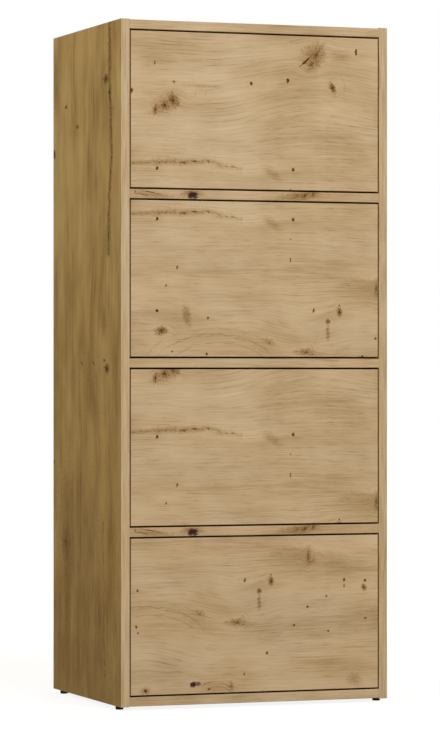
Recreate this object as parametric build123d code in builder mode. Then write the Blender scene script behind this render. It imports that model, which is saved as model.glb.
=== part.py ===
from build123d import *
import os
from math import cos, radians, sin, sqrt

# Shoe cabinet with fall flaps set one above another, opened by a push on their fronts.
# Frame: X to the right as seen from the front, Y to the back, Z up, in millimetres.
# The origin lies on the floor under the middle of the cabinet.

# Carcass
WIDTH = 500.0  # outside the side panels
DEPTH = 390.0  # of the side panels
SIDE_HEIGHT = 1194.0  # of the side panels, without the glides
BOARD = 16.0  # thickness of every decor board
BAYS = 4  # flaps, one above another
SIDE_OVERRUN = 1.0  # side panels pass the top and the bottom panel by this much
ARRIS = 0.8  # rounding of the banded front edges

# Hardboard back, let into a rebate of the side panels
BACK_THICKNESS = 3.0
REBATE_WIDTH = 8.0
REBATE_DEPTH = 4.0
BACK_PLAY = 0.5  # around the rim of the back panel
NAIL_DIAMETER = 1.4
NAIL_LENGTH = 20.0
NAIL_HEAD_DIAMETER = 3.2
NAIL_HEAD_HEIGHT = 0.8
NAILS_PER_SIDE = 9
NAILS_PER_LEVEL = 3
NAIL_END_INSET = 42.0  # first nail from the end of its row

# Floor glides, one near each corner
GLIDE_HEIGHT = 6.0
GLIDE_DIAMETER = 14.0
GLIDE_CHAMFER = 0.8
GLIDE_FRONT_INSET = 32.0  # from the front edge
GLIDE_REAR_INSET = 40.0  # from the rear edge
GLIDE_PLUG_DIAMETER = 6.0
GLIDE_PLUG_LENGTH = 14.0

# Cam joints between the side panels and the level boards
CAM_DIAMETER = 15.0
CAM_HEIGHT = 12.5
CAM_SETBACK = 34.0  # from the board's end
CAM_INSET = 50.0  # from the front and the rear edge
CAM_RECESS_LENGTH = 7.0
CAM_RECESS_WIDTH = 1.6
CAM_RECESS_DEPTH = 2.0
BOLT_DIAMETER = 6.6
BOLT_PAST_CENTRE = 2.0  # the bolt's head passes the middle of the cam
BOLT_THREAD_DIAMETER = 5.8
BOLT_THREAD_LENGTH = 11.0
DOWEL_DIAMETER = 8.0
DOWEL_IN_SIDE = 12.0
DOWEL_IN_BOARD = 18.0
DOWEL_PITCH = 32.0  # from the cam

# Shoe shelf at half height in each bay
SHELF_SETBACK = 40.0  # from the front of the cabinet
SHELF_PLAY = 0.5  # at each end and at the back
SUPPORT_INSET = 40.0  # from the shelf's front and rear edge
SUPPORT_PIN_DIAMETER = 5.0
SUPPORT_PIN_LENGTH = 8.0
SUPPORT_REACH = 9.0
SUPPORT_WIDTH = 12.0
SUPPORT_HEIGHT = 13.0
SUPPORT_WALL = 2.5

# Flaps and their hinge pins
FLAP_GAP = 3.0  # above and below each flap
FLAP_SIDE_GAP = 2.0  # beside each flap
SWING_CLEARANCE = 1.2  # between the lower arris and the board below as the flap turns
FLAP_OPENING = 90.0  # degrees
PIN_DIAMETER = 5.0
PIN_IN_FLAP = 16.0
PIN_IN_BUSH = 9.0
PIN_CHAMFER = 0.6
BUSH_DIAMETER = 8.0
BUSH_DEPTH = 11.0
BUSH_FLANGE_DIAMETER = 11.0
BUSH_FLANGE = 1.0

# Slotted stays: the rivet on the flap and the stud on the side panel lie equally far from the
# hinge line, so the arm turns exactly half as far as the flap
STAY_RADIUS = 95.0  # hinge line to rivet, and hinge line to stud
STAY_STANDOFF = 10.0  # rivet behind the flap's rear face
STUD_ANGLE = 50.0  # degrees from upright, seen from the hinge line
STUD_DIAMETER = 5.0
STUD_BASE_DIAMETER = 11.0
STUD_BASE = 2.5
STUD_HEAD_DIAMETER = 10.0
STUD_HEAD = 2.0
STUD_THREAD_DIAMETER = 4.6
STUD_THREAD_LENGTH = 11.0
ARM_WIDTH = 13.0
ARM_THICKNESS = 2.0
ARM_PLAY = 0.3  # on each face of the arm
SLOT_PLAY = 0.2  # between stud and slot
SLOT_END_WALL = 4.5
RIVET_DIAMETER = 5.0
RIVET_HEAD_DIAMETER = 8.5
RIVET_HEAD = 1.2
RIVET_PLAY = 0.1  # under the rivet's outer head
EAR_WIDTH = 13.0
BRACKET_THICKNESS = 2.0
BRACKET_FOOT = 18.0
BRACKET_HEIGHT = 28.0
BRACKET_SCREW_PITCH = 17.0

# Push latch under the board above each flap
LATCH_DROP = 11.0  # plunger's axis below that board
LATCH_BARREL = 14.0
LATCH_WEB = 8.0
LATCH_LENGTH = 60.0
LATCH_FLANGE = 3.0
LATCH_FLANGE_WIDTH = 46.0
LATCH_FLANGE_LENGTH = 22.0
LATCH_SCREW_PITCH = 34.0
LATCH_ROUNDING = 3.0
PLUNGER_DIAMETER = 8.0
PLUNGER_LENGTH = 50.0
PLUNGER_OUT = 4.0  # in front of the housing when the flap is shut
PLUNGER_CHAMFER = 0.6
PLUNGER_PLAY = 0.1
PLUNGER_REST_GAP = 0.3  # to the strike plate when the flap is shut
SPRING_ROOM = 7.0  # behind the plunger
STRIKE_DIAMETER = 14.0
STRIKE_THICKNESS = 2.0

# Wall brackets under the top panel
WALL_BRACKET_PITCH = 300.0
WALL_BRACKET_WIDTH = 30.0
WALL_BRACKET_LEG = 32.0
WALL_BRACKET_THICKNESS = 2.0
WALL_HOLE_DIAMETER = 6.5
WALL_HOLE_DROP = 18.0  # below the top panel
WALL_HOLE_ROOM = 1.0  # around that hole, in the back panel

# Wood screws
SCREW_DIAMETER = 3.2
SCREW_LENGTH = 13.0
SCREW_HEAD_DIAMETER = 6.6
SCREW_HEAD = 2.2
SCREW_HEAD_ROUNDING = 1.0
SCREW_CROSS_LENGTH = 3.6
SCREW_CROSS_WIDTH = 0.8
SCREW_CROSS_DEPTH = 1.0
FIT = 0.05  # on the radius of every seated or turning round piece

# Places worked out from the sizes above
FRONT_Y = -DEPTH / 2
REAR_Y = DEPTH / 2 - REBATE_DEPTH  # rear edge of the level boards
INNER_X = WIDTH / 2 - BOARD  # inner face of a side panel
BAY_HEIGHT = (SIDE_HEIGHT - 2 * SIDE_OVERRUN - (BAYS + 1) * BOARD) / BAYS
SHELF_RISE = (BAY_HEIGHT - BOARD) / 2  # underside of a shoe shelf above its bay's floor
SHELF_FRONT_Y = FRONT_Y + SHELF_SETBACK
SHELF_REAR_Y = REAR_Y - SHELF_PLAY
FLAP_WIDTH = 2 * (INNER_X - FLAP_SIDE_GAP)
FLAP_HEIGHT = BAY_HEIGHT - 2 * FLAP_GAP
FLAP_REAR_Y = FRONT_Y + BOARD
HINGE_Y = FRONT_Y + BOARD / 2
SWING_ROOM = FLAP_GAP - SWING_CLEARANCE
HINGE_RISE = FLAP_GAP + ((BOARD / 2) ** 2 - SWING_ROOM**2) / (2 * SWING_ROOM)
RIVET_BACK = BOARD / 2 + STAY_STANDOFF
RIVET_UP = sqrt(STAY_RADIUS**2 - RIVET_BACK**2)
STUD_BACK = STAY_RADIUS * sin(radians(STUD_ANGLE))
STUD_UP = STAY_RADIUS * cos(radians(STUD_ANGLE))
STAY_SHUT = sqrt((STUD_BACK - RIVET_BACK) ** 2 + (STUD_UP - RIVET_UP) ** 2)
ARM_INSET = STUD_BASE + ARM_PLAY  # from the side panel's inner face
EAR_INSET = ARM_INSET + ARM_THICKNESS + ARM_PLAY
STRIKE_Y = FLAP_REAR_Y + STRIKE_THICKNESS
PLUNGER_TIP_Y = STRIKE_Y + PLUNGER_REST_GAP
LATCH_FRONT_Y = PLUNGER_TIP_Y + PLUNGER_OUT
SCREW_SINK = (SCREW_HEAD_DIAMETER - SCREW_DIAMETER) / 2  # depth of a 90 degree sunk head

SIDES = {"left": -1, "right": 1}
BAY_NUMBERS = range(1, BAYS + 1)  # bay 1 is the top one
CAM_ROWS = (FRONT_Y + CAM_INSET, REAR_Y - CAM_INSET)
DOWEL_ROWS = (CAM_ROWS[0] + DOWEL_PITCH, CAM_ROWS[1] - DOWEL_PITCH)
GLIDE_ROWS = (FRONT_Y + GLIDE_FRONT_INSET, DEPTH / 2 - GLIDE_REAR_INSET)
SUPPORT_ROWS = (SHELF_FRONT_Y + SUPPORT_INSET, SHELF_REAR_Y - SUPPORT_INSET)
DOWN = (0, 0, -1)
BACKWARD = (0, 1, 0)
FORWARD = (0, -1, 0)
INTO = (Align.CENTER, Align.CENTER, Align.MAX)  # below the plane it stands on
OUT_OF = (Align.CENTER, Align.CENTER, Align.MIN)  # above the plane it stands on


def underside(level):
    """Underside of a level board, counted from the bottom panel at level 0."""
    return GLIDE_HEIGHT + SIDE_OVERRUN + level * (BAY_HEIGHT + BOARD)


def bay_floor(bay):
    return underside(BAYS - bay) + BOARD


def bay_ceiling(bay):
    return underside(BAYS - bay + 1)


def hinge_z(bay):
    return bay_floor(bay) + HINGE_RISE


def stay_reach(opening):
    """Rivet to stud at an opening in degrees: a chord of the circle that both lie on."""
    half_shut = STAY_SHUT / (2 * STAY_RADIUS)
    half_turn = radians(opening) / 2
    return 2 * STAY_RADIUS * (half_shut * cos(half_turn) + sqrt(1 - half_shut**2) * sin(half_turn))


def inward(side, inset, y, z):
    """Plane at an inset from a side panel's inner face, looking into the cabinet."""
    return Plane(origin=(side * (INNER_X - inset), y, z), x_dir=(0, 1, 0), z_dir=(-side, 0, 0))


def outward(side, inset, y, z):
    """The same place, looking out through the side panel."""
    return Plane(origin=(side * (INNER_X - inset), y, z), x_dir=(0, 1, 0), z_dir=(side, 0, 0))


def facing(x, y, z, direction):
    return Plane(origin=(x, y, z), x_dir=(1, 0, 0), z_dir=direction)


def save(piece, name):
    piece.part.label = name
    export_step(piece.part, f"parts/{name}.step")


def level_points(rows):
    """Y and Z in a side panel of what joins it to each level board."""
    centres = [underside(level) + BOARD / 2 for level in range(BAYS + 1)]
    return [(y, z) for z in centres for y in rows]


def hinge_points():
    return [(HINGE_Y, hinge_z(bay)) for bay in BAY_NUMBERS]


def stud_points():
    return [(HINGE_Y + STUD_BACK, hinge_z(bay) + STUD_UP) for bay in BAY_NUMBERS]


def support_points():
    """Y and Z of the shelf pins, in the middle of each support's back plate."""
    drop = SUPPORT_HEIGHT / 2
    return [(y, bay_floor(bay) + SHELF_RISE - drop) for bay in BAY_NUMBERS for y in SUPPORT_ROWS]


def side_nail_rows():
    first = underside(0) + NAIL_END_INSET
    last = underside(BAYS) + BOARD - NAIL_END_INSET
    return [first + (last - first) * i / (NAILS_PER_SIDE - 1) for i in range(NAILS_PER_SIDE)]


def level_nail_columns():
    span = 2 * (INNER_X - NAIL_END_INSET)
    return [span * (i / (NAILS_PER_LEVEL - 1) - 0.5) for i in range(NAILS_PER_LEVEL)]


def side_nails(side):
    return [(side * (INNER_X + REBATE_WIDTH / 2), z) for z in side_nail_rows()]


def level_nails(level):
    return [(x, underside(level) + BOARD / 2) for x in level_nail_columns()]


def latch_screws(bay):
    y = LATCH_FRONT_Y + LATCH_LENGTH / 2
    return [(x, y, bay_ceiling(bay)) for x in (-LATCH_SCREW_PITCH / 2, LATCH_SCREW_PITCH / 2)]


def wall_columns():
    return (-WALL_BRACKET_PITCH / 2, WALL_BRACKET_PITCH / 2)


def wall_screws():
    y = REAR_Y - WALL_BRACKET_LEG / 2
    return [(x, y, bay_ceiling(1)) for x in wall_columns()]


def bracket_screws(side, bay):
    """X and Z of the screws that hold a stay bracket to its flap."""
    x = side * (INNER_X - EAR_INSET - BRACKET_FOOT / 2 - BRACKET_THICKNESS / 2)
    middle = hinge_z(bay) + RIVET_UP
    return [(x, middle + drop) for drop in (-BRACKET_SCREW_PITCH / 2, BRACKET_SCREW_PITCH / 2)]


def all_bracket_screws(bay):
    return [point for side in SIDES.values() for point in bracket_screws(side, bay)]


def make_side_panel(name, side):
    with BuildPart() as panel:
        with BuildSketch(Plane.XY.offset(GLIDE_HEIGHT)):
            with Locations((side * (WIDTH - BOARD) / 2, 0)):
                Rectangle(BOARD, DEPTH)
            with Locations((side * (INNER_X + REBATE_WIDTH / 2), REAR_Y + REBATE_DEPTH / 2)):
                Rectangle(REBATE_WIDTH, REBATE_DEPTH, mode=Mode.SUBTRACT)
        extrude(amount=SIDE_HEIGHT)
        fillet(panel.edges().filter_by(Axis.Z).group_by(Axis.Y)[0], ARRIS)
        with Locations(*[inward(side, 0, *point) for point in level_points(CAM_ROWS)]):
            Hole(BOLT_THREAD_DIAMETER / 2 + FIT, BOLT_THREAD_LENGTH)
        with Locations(*[inward(side, 0, *point) for point in level_points(DOWEL_ROWS)]):
            Hole(DOWEL_DIAMETER / 2 + FIT, DOWEL_IN_SIDE)
        with Locations(*[inward(side, 0, *point) for point in hinge_points()]):
            Hole(BUSH_DIAMETER / 2 + FIT, BUSH_DEPTH)
        with Locations(*[inward(side, 0, *point) for point in stud_points()]):
            Hole(STUD_THREAD_DIAMETER / 2 + FIT, STUD_THREAD_LENGTH)
        with Locations(*[inward(side, 0, *point) for point in support_points()]):
            Hole(SUPPORT_PIN_DIAMETER / 2 + FIT, SUPPORT_PIN_LENGTH)
        with Locations(*[facing(x, REAR_Y, z, BACKWARD) for x, z in side_nails(side)]):
            Hole(NAIL_DIAMETER / 2 + FIT, NAIL_LENGTH - BACK_THICKNESS)
        with Locations(*[facing(side * (WIDTH - BOARD) / 2, y, GLIDE_HEIGHT, DOWN) for y in GLIDE_ROWS]):
            Hole(GLIDE_PLUG_DIAMETER / 2 + FIT, GLIDE_PLUG_LENGTH)
    save(panel, name)


def make_level_board(name, level):
    base = underside(level)
    middle = base + BOARD / 2
    with BuildPart() as board:
        with BuildSketch(Plane.XY.offset(base)):
            with Locations((0, (FRONT_Y + REAR_Y) / 2)):
                Rectangle(2 * INNER_X, REAR_Y - FRONT_Y)
        extrude(amount=BOARD)
        fillet(board.edges().filter_by(Axis.X).group_by(Axis.Y)[0], ARRIS)
        for side in SIDES.values():
            with Locations(*[facing(side * (INNER_X - CAM_SETBACK), y, base, DOWN) for y in CAM_ROWS]):
                Hole(CAM_DIAMETER / 2 + FIT, CAM_HEIGHT)
            with Locations(*[outward(side, 0, y, middle) for y in CAM_ROWS]):
                Hole(BOLT_DIAMETER / 2 + FIT, CAM_SETBACK)
            with Locations(*[outward(side, 0, y, middle) for y in DOWEL_ROWS]):
                Hole(DOWEL_DIAMETER / 2 + FIT, DOWEL_IN_BOARD)
        with Locations(*[facing(x, REAR_Y, z, BACKWARD) for x, z in level_nails(level)]):
            Hole(NAIL_DIAMETER / 2 + FIT, NAIL_LENGTH - BACK_THICKNESS)
        screws = []
        if level > 0:
            screws += [(point, LATCH_FLANGE) for point in latch_screws(BAYS - level + 1)]
        if level == BAYS:
            screws += [(point, WALL_BRACKET_THICKNESS) for point in wall_screws()]
        for point, plate in screws:
            with Locations(facing(*point, DOWN)):
                Hole(SCREW_DIAMETER / 2 + FIT, SCREW_LENGTH - plate)
    save(board, name)


def make_back_panel():
    low = underside(0) + SIDE_OVERRUN
    high = underside(BAYS) + BOARD - SIDE_OVERRUN
    nails = [point for side in SIDES.values() for point in side_nails(side)]
    nails += [point for level in range(BAYS + 1) for point in level_nails(level)]
    wall_z = bay_ceiling(1) - WALL_HOLE_DROP
    with BuildPart() as back_panel:
        with BuildSketch(facing(0, REAR_Y, (low + high) / 2, BACKWARD)):
            Rectangle(2 * (INNER_X + REBATE_WIDTH - BACK_PLAY), high - low)
        extrude(amount=BACK_THICKNESS)
        with Locations(*[facing(x, REAR_Y + BACK_THICKNESS, z, BACKWARD) for x, z in nails]):
            Hole(NAIL_DIAMETER / 2 + FIT, BACK_THICKNESS)
        with Locations(*[facing(x, REAR_Y + BACK_THICKNESS, wall_z, BACKWARD) for x in wall_columns()]):
            Hole(WALL_HOLE_DIAMETER / 2 + WALL_HOLE_ROOM, BACK_THICKNESS)
    save(back_panel, "back_panel")

    with BuildPart() as back_nails:
        with Locations(*[facing(x, REAR_Y + BACK_THICKNESS, z, BACKWARD) for x, z in nails]):
            Cylinder(NAIL_DIAMETER / 2, NAIL_LENGTH, align=INTO)
            Cylinder(NAIL_HEAD_DIAMETER / 2, NAIL_HEAD_HEIGHT, align=OUT_OF)
    save(back_nails, "back_nails")


def make_floor_glides():
    columns = [side * (WIDTH - BOARD) / 2 for side in SIDES.values()]
    with BuildPart() as floor_glides:
        with Locations(*[facing(x, y, GLIDE_HEIGHT, DOWN) for x in columns for y in GLIDE_ROWS]):
            Cylinder(GLIDE_DIAMETER / 2, GLIDE_HEIGHT, align=OUT_OF)
            Cylinder(GLIDE_PLUG_DIAMETER / 2, GLIDE_PLUG_LENGTH, align=INTO)
        rims = floor_glides.edges().filter_by(GeomType.CIRCLE).group_by(Axis.Z)[0]
        chamfer(rims, GLIDE_CHAMFER)
    save(floor_glides, "floor_glides")


def make_cam_joints():
    ends = [(side, y, z) for side in SIDES.values() for y, z in level_points(CAM_ROWS)]
    seats = [facing(s * (INNER_X - CAM_SETBACK), y, z - BOARD / 2, DOWN) for s, y, z in ends]
    head_inset = CAM_SETBACK + BOLT_PAST_CENTRE
    with BuildPart() as cam_locks:
        with Locations(*seats):
            Cylinder(CAM_DIAMETER / 2, CAM_HEIGHT, align=INTO)
        with Locations(*[outward(side, head_inset, y, z) for side, y, z in ends]):
            Cylinder(BOLT_DIAMETER / 2 + FIT, CAM_DIAMETER, align=OUT_OF, mode=Mode.SUBTRACT)
        with Locations(*seats):
            Box(CAM_RECESS_LENGTH, CAM_RECESS_WIDTH, CAM_RECESS_DEPTH, align=INTO, mode=Mode.SUBTRACT)
            Box(CAM_RECESS_WIDTH, CAM_RECESS_LENGTH, CAM_RECESS_DEPTH, align=INTO, mode=Mode.SUBTRACT)
    save(cam_locks, "cam_locks")

    with BuildPart() as cam_bolts:
        with Locations(*[inward(side, 0, y, z) for side, y, z in ends]):
            Cylinder(BOLT_DIAMETER / 2, head_inset, align=OUT_OF)
            Cylinder(BOLT_THREAD_DIAMETER / 2, BOLT_THREAD_LENGTH, align=INTO)
    save(cam_bolts, "cam_bolts")

    dowel_ends = [(side, y, z) for side in SIDES.values() for y, z in level_points(DOWEL_ROWS)]
    with BuildPart() as wood_dowels:
        with Locations(*[inward(side, 0, y, z) for side, y, z in dowel_ends]):
            Cylinder(DOWEL_DIAMETER / 2, DOWEL_IN_BOARD, align=OUT_OF)
            Cylinder(DOWEL_DIAMETER / 2, DOWEL_IN_SIDE, align=INTO)
    save(wood_dowels, "wood_dowels")


def make_shoe_shelf(name, bay):
    with BuildPart() as shelf:
        with BuildSketch(Plane.XY.offset(bay_floor(bay) + SHELF_RISE)):
            with Locations((0, (SHELF_FRONT_Y + SHELF_REAR_Y) / 2)):
                Rectangle(2 * (INNER_X - SHELF_PLAY), SHELF_REAR_Y - SHELF_FRONT_Y)
        extrude(amount=BOARD)
        fillet(shelf.edges().filter_by(Axis.X).group_by(Axis.Y)[0], ARRIS)
    save(shelf, name)


def make_shelf_supports():
    places = [(side, y, z) for side in SIDES.values() for y, z in support_points()]
    top = SUPPORT_HEIGHT / 2
    ledges = [inward(side, 0, y, z + top - SUPPORT_WALL / 2) for side, y, z in places]
    with BuildPart() as shelf_supports:
        with Locations(*[inward(side, 0, y, z) for side, y, z in places]):
            Cylinder(SUPPORT_PIN_DIAMETER / 2, SUPPORT_PIN_LENGTH, align=INTO)
            Box(SUPPORT_WIDTH, SUPPORT_HEIGHT, SUPPORT_WALL, align=OUT_OF)
        with Locations(*ledges):
            Box(SUPPORT_WIDTH, SUPPORT_WALL, SUPPORT_REACH, align=OUT_OF)
    save(shelf_supports, "shelf_supports")


def make_pivot_bushes():
    places = [(side, y, z) for side in SIDES.values() for y, z in hinge_points()]
    with BuildPart() as pivot_bushes:
        with Locations(*[inward(side, 0, y, z) for side, y, z in places]):
            Cylinder(BUSH_DIAMETER / 2, BUSH_DEPTH, align=INTO)
            Cylinder(BUSH_FLANGE_DIAMETER / 2, BUSH_FLANGE, align=OUT_OF)
        with Locations(*[inward(side, BUSH_FLANGE, y, z) for side, y, z in places]):
            Hole(PIN_DIAMETER / 2 + FIT, BUSH_FLANGE + PIN_IN_BUSH + FIT)
    save(pivot_bushes, "pivot_bushes")


def make_stay_studs():
    places = [(side, y, z) for side in SIDES.values() for y, z in stud_points()]
    shoulder = ARM_THICKNESS + 2 * ARM_PLAY
    with BuildPart() as stay_studs:
        with Locations(*[inward(side, 0, y, z) for side, y, z in places]):
            Cylinder(STUD_THREAD_DIAMETER / 2, STUD_THREAD_LENGTH, align=INTO)
            Cylinder(STUD_BASE_DIAMETER / 2, STUD_BASE, align=OUT_OF)
            Cylinder(STUD_DIAMETER / 2, STUD_BASE + shoulder, align=OUT_OF)
        with Locations(*[inward(side, STUD_BASE + shoulder, y, z) for side, y, z in places]):
            Cylinder(STUD_HEAD_DIAMETER / 2, STUD_HEAD, align=OUT_OF)
    save(stay_studs, "stay_studs")


def make_wall_brackets():
    ceiling = bay_ceiling(1)
    half = WALL_BRACKET_WIDTH / 2
    corners = [(x - half, REAR_Y, ceiling) for x in wall_columns()]
    with BuildPart() as wall_brackets:
        with BuildSketch(*[Plane(origin=corner, x_dir=FORWARD, z_dir=(1, 0, 0)) for corner in corners]):
            Rectangle(WALL_BRACKET_LEG, WALL_BRACKET_THICKNESS, align=(Align.MIN, Align.MIN))
            Rectangle(WALL_BRACKET_THICKNESS, WALL_BRACKET_LEG, align=(Align.MIN, Align.MIN))
        extrude(amount=WALL_BRACKET_WIDTH)
        with Locations(*[facing(x, REAR_Y, ceiling - WALL_HOLE_DROP, BACKWARD) for x in wall_columns()]):
            Hole(WALL_HOLE_DIAMETER / 2, WALL_BRACKET_THICKNESS)
        with Locations(*[facing(*point, DOWN) for point in wall_screws()]):
            Hole(SCREW_DIAMETER / 2 + FIT, WALL_BRACKET_THICKNESS)
    save(wall_brackets, "wall_brackets")


def make_carcass_screws():
    """Round-headed screws of the latch housings and the wall brackets."""
    heads = []
    for bay in BAY_NUMBERS:
        heads += [facing(x, y, z - LATCH_FLANGE, DOWN) for x, y, z in latch_screws(bay)]
    heads += [facing(x, y, z - WALL_BRACKET_THICKNESS, DOWN) for x, y, z in wall_screws()]
    tops = [head.offset(SCREW_HEAD) for head in heads]
    with BuildPart() as carcass_screws:
        with Locations(*heads):
            Cylinder(SCREW_DIAMETER / 2, SCREW_LENGTH, align=INTO)
            Cylinder(SCREW_HEAD_DIAMETER / 2, SCREW_HEAD, align=OUT_OF)
        head_rims = [
            edge
            for edge in carcass_screws.edges().filter_by(GeomType.CIRCLE)
            if any(abs((edge.arc_center - top.origin).length) < FIT for top in tops)
        ]
        fillet(head_rims, SCREW_HEAD_ROUNDING)
        with Locations(*tops):
            Box(SCREW_CROSS_LENGTH, SCREW_CROSS_WIDTH, SCREW_CROSS_DEPTH, align=INTO, mode=Mode.SUBTRACT)
            Box(SCREW_CROSS_WIDTH, SCREW_CROSS_LENGTH, SCREW_CROSS_DEPTH, align=INTO, mode=Mode.SUBTRACT)
    save(carcass_screws, "carcass_screws")


def make_latch_housing(name, bay):
    ceiling = bay_ceiling(bay)
    axis_z = ceiling - LATCH_DROP
    screw_y = LATCH_FRONT_Y + LATCH_LENGTH / 2
    with BuildPart() as housing:
        with BuildSketch(Plane(origin=(0, LATCH_FRONT_Y, ceiling), x_dir=(1, 0, 0), z_dir=BACKWARD)):
            Rectangle(LATCH_WEB, LATCH_DROP, align=(Align.CENTER, Align.MIN))
            with Locations((0, LATCH_DROP)):
                Circle(LATCH_BARREL / 2)
        extrude(amount=LATCH_LENGTH)
        with BuildSketch(Plane.XY.offset(ceiling)):
            with Locations((0, screw_y)):
                RectangleRounded(LATCH_FLANGE_WIDTH, LATCH_FLANGE_LENGTH, LATCH_ROUNDING)
        extrude(amount=-LATCH_FLANGE)
        with Locations(*[facing(*point, DOWN) for point in latch_screws(bay)]):
            Hole(SCREW_DIAMETER / 2 + FIT, LATCH_FLANGE)
        with Locations(facing(0, LATCH_FRONT_Y, axis_z, FORWARD)):
            Hole(PLUNGER_DIAMETER / 2 + PLUNGER_PLAY, PLUNGER_LENGTH - PLUNGER_OUT + SPRING_ROOM)
    save(housing, name)


def make_latch_plunger(name, bay):
    with BuildPart() as plunger:
        with Locations(facing(0, PLUNGER_TIP_Y, bay_ceiling(bay) - LATCH_DROP, FORWARD)):
            Cylinder(PLUNGER_DIAMETER / 2, PLUNGER_LENGTH, align=INTO)
        chamfer(plunger.faces().sort_by(Axis.Y)[0].edges(), PLUNGER_CHAMFER)
    save(plunger, name)


def make_flap_board(name, bay):
    low = bay_floor(bay) + FLAP_GAP
    strike_z = bay_ceiling(bay) - LATCH_DROP
    with BuildPart() as flap:
        with BuildSketch(Plane.XY.offset(low)):
            with Locations((0, HINGE_Y)):
                Rectangle(FLAP_WIDTH, BOARD)
        extrude(amount=FLAP_HEIGHT)
        fillet(flap.faces().sort_by(Axis.Y)[0].edges(), ARRIS)
        with Locations(*[outward(side, FLAP_SIDE_GAP, HINGE_Y, hinge_z(bay)) for side in SIDES.values()]):
            Hole(PIN_DIAMETER / 2 + FIT, PIN_IN_FLAP)
        with Locations(*[facing(x, FLAP_REAR_Y, z, BACKWARD) for x, z in all_bracket_screws(bay)]):
            Hole(SCREW_DIAMETER / 2 + FIT, SCREW_LENGTH - BRACKET_THICKNESS)
        with Locations(facing(0, FLAP_REAR_Y, strike_z, BACKWARD)):
            Hole(SCREW_DIAMETER / 2 + FIT, SCREW_LENGTH - STRIKE_THICKNESS)
    save(flap, name)


def make_hinge_pins(name, bay):
    with BuildPart() as pins:
        with Locations(*[outward(side, FLAP_SIDE_GAP, HINGE_Y, hinge_z(bay)) for side in SIDES.values()]):
            Cylinder(PIN_DIAMETER / 2, PIN_IN_FLAP, align=INTO)
            Cylinder(PIN_DIAMETER / 2, FLAP_SIDE_GAP + PIN_IN_BUSH, align=OUT_OF)
        ends = pins.edges().filter_by(GeomType.CIRCLE).group_by(Axis.X)
        chamfer(ends[0] + ends[-1], PIN_CHAMFER)
    save(pins, name)


def make_stay_brackets(name, bay):
    rivet_y = HINGE_Y + RIVET_BACK
    rivet_z = hinge_z(bay) + RIVET_UP
    with BuildPart() as brackets:
        for side in SIDES.values():
            with BuildSketch(inward(side, EAR_INSET, rivet_y, rivet_z)):
                Circle(EAR_WIDTH / 2)
                Rectangle(STAY_STANDOFF, EAR_WIDTH, align=(Align.MAX, Align.CENTER))
                Circle(RIVET_DIAMETER / 2 + FIT, mode=Mode.SUBTRACT)
            extrude(amount=BRACKET_THICKNESS)
            foot_x = side * (INNER_X - EAR_INSET - BRACKET_FOOT / 2)
            with BuildSketch(facing(foot_x, FLAP_REAR_Y, rivet_z, BACKWARD)):
                Rectangle(BRACKET_FOOT, BRACKET_HEIGHT)
            extrude(amount=BRACKET_THICKNESS)
        foot_y = FLAP_REAR_Y + BRACKET_THICKNESS
        with Locations(*[facing(x, foot_y, z, BACKWARD) for x, z in all_bracket_screws(bay)]):
            CounterSinkHole(
                SCREW_DIAMETER / 2 + FIT,
                SCREW_HEAD_DIAMETER / 2 + FIT,
                BRACKET_THICKNESS,
                counter_sink_angle=90,
            )
    save(brackets, name)


def make_strike_plate(name, bay):
    with BuildPart() as strike:
        with Locations(facing(0, FLAP_REAR_Y, bay_ceiling(bay) - LATCH_DROP, BACKWARD)):
            Cylinder(STRIKE_DIAMETER / 2, STRIKE_THICKNESS, align=OUT_OF)
        with Locations(facing(0, STRIKE_Y, bay_ceiling(bay) - LATCH_DROP, BACKWARD)):
            CounterSinkHole(
                SCREW_DIAMETER / 2 + FIT,
                SCREW_HEAD_DIAMETER / 2 + FIT,
                STRIKE_THICKNESS,
                counter_sink_angle=90,
            )
    save(strike, name)


def make_flap_fasteners(name, bay):
    """Sunk screws of the stay brackets and the strike plate, and the rivets of the stays."""
    rivet_y = HINGE_Y + RIVET_BACK
    rivet_z = hinge_z(bay) + RIVET_UP
    plate_y = FLAP_REAR_Y + BRACKET_THICKNESS
    sunk = [facing(x, plate_y, z, BACKWARD) for x, z in all_bracket_screws(bay)]
    sunk += [facing(0, STRIKE_Y, bay_ceiling(bay) - LATCH_DROP, BACKWARD)]
    outer_inset = ARM_INSET - RIVET_PLAY
    inner_inset = EAR_INSET + BRACKET_THICKNESS
    with BuildPart() as fasteners:
        with Locations(*sunk):
            Cylinder(SCREW_DIAMETER / 2, SCREW_LENGTH, align=INTO)
            Cone(SCREW_DIAMETER / 2, SCREW_HEAD_DIAMETER / 2, SCREW_SINK, align=INTO)
            Box(SCREW_CROSS_LENGTH, SCREW_CROSS_WIDTH, SCREW_CROSS_DEPTH, align=INTO, mode=Mode.SUBTRACT)
            Box(SCREW_CROSS_WIDTH, SCREW_CROSS_LENGTH, SCREW_CROSS_DEPTH, align=INTO, mode=Mode.SUBTRACT)
        with Locations(*[inward(side, outer_inset, rivet_y, rivet_z) for side in SIDES.values()]):
            Cylinder(RIVET_HEAD_DIAMETER / 2, RIVET_HEAD, align=INTO)
            Cylinder(RIVET_DIAMETER / 2, inner_inset - outer_inset, align=OUT_OF)
        with Locations(*[inward(side, inner_inset, rivet_y, rivet_z) for side in SIDES.values()]):
            Cylinder(RIVET_HEAD_DIAMETER / 2, RIVET_HEAD, align=OUT_OF)
    save(fasteners, name)


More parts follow.
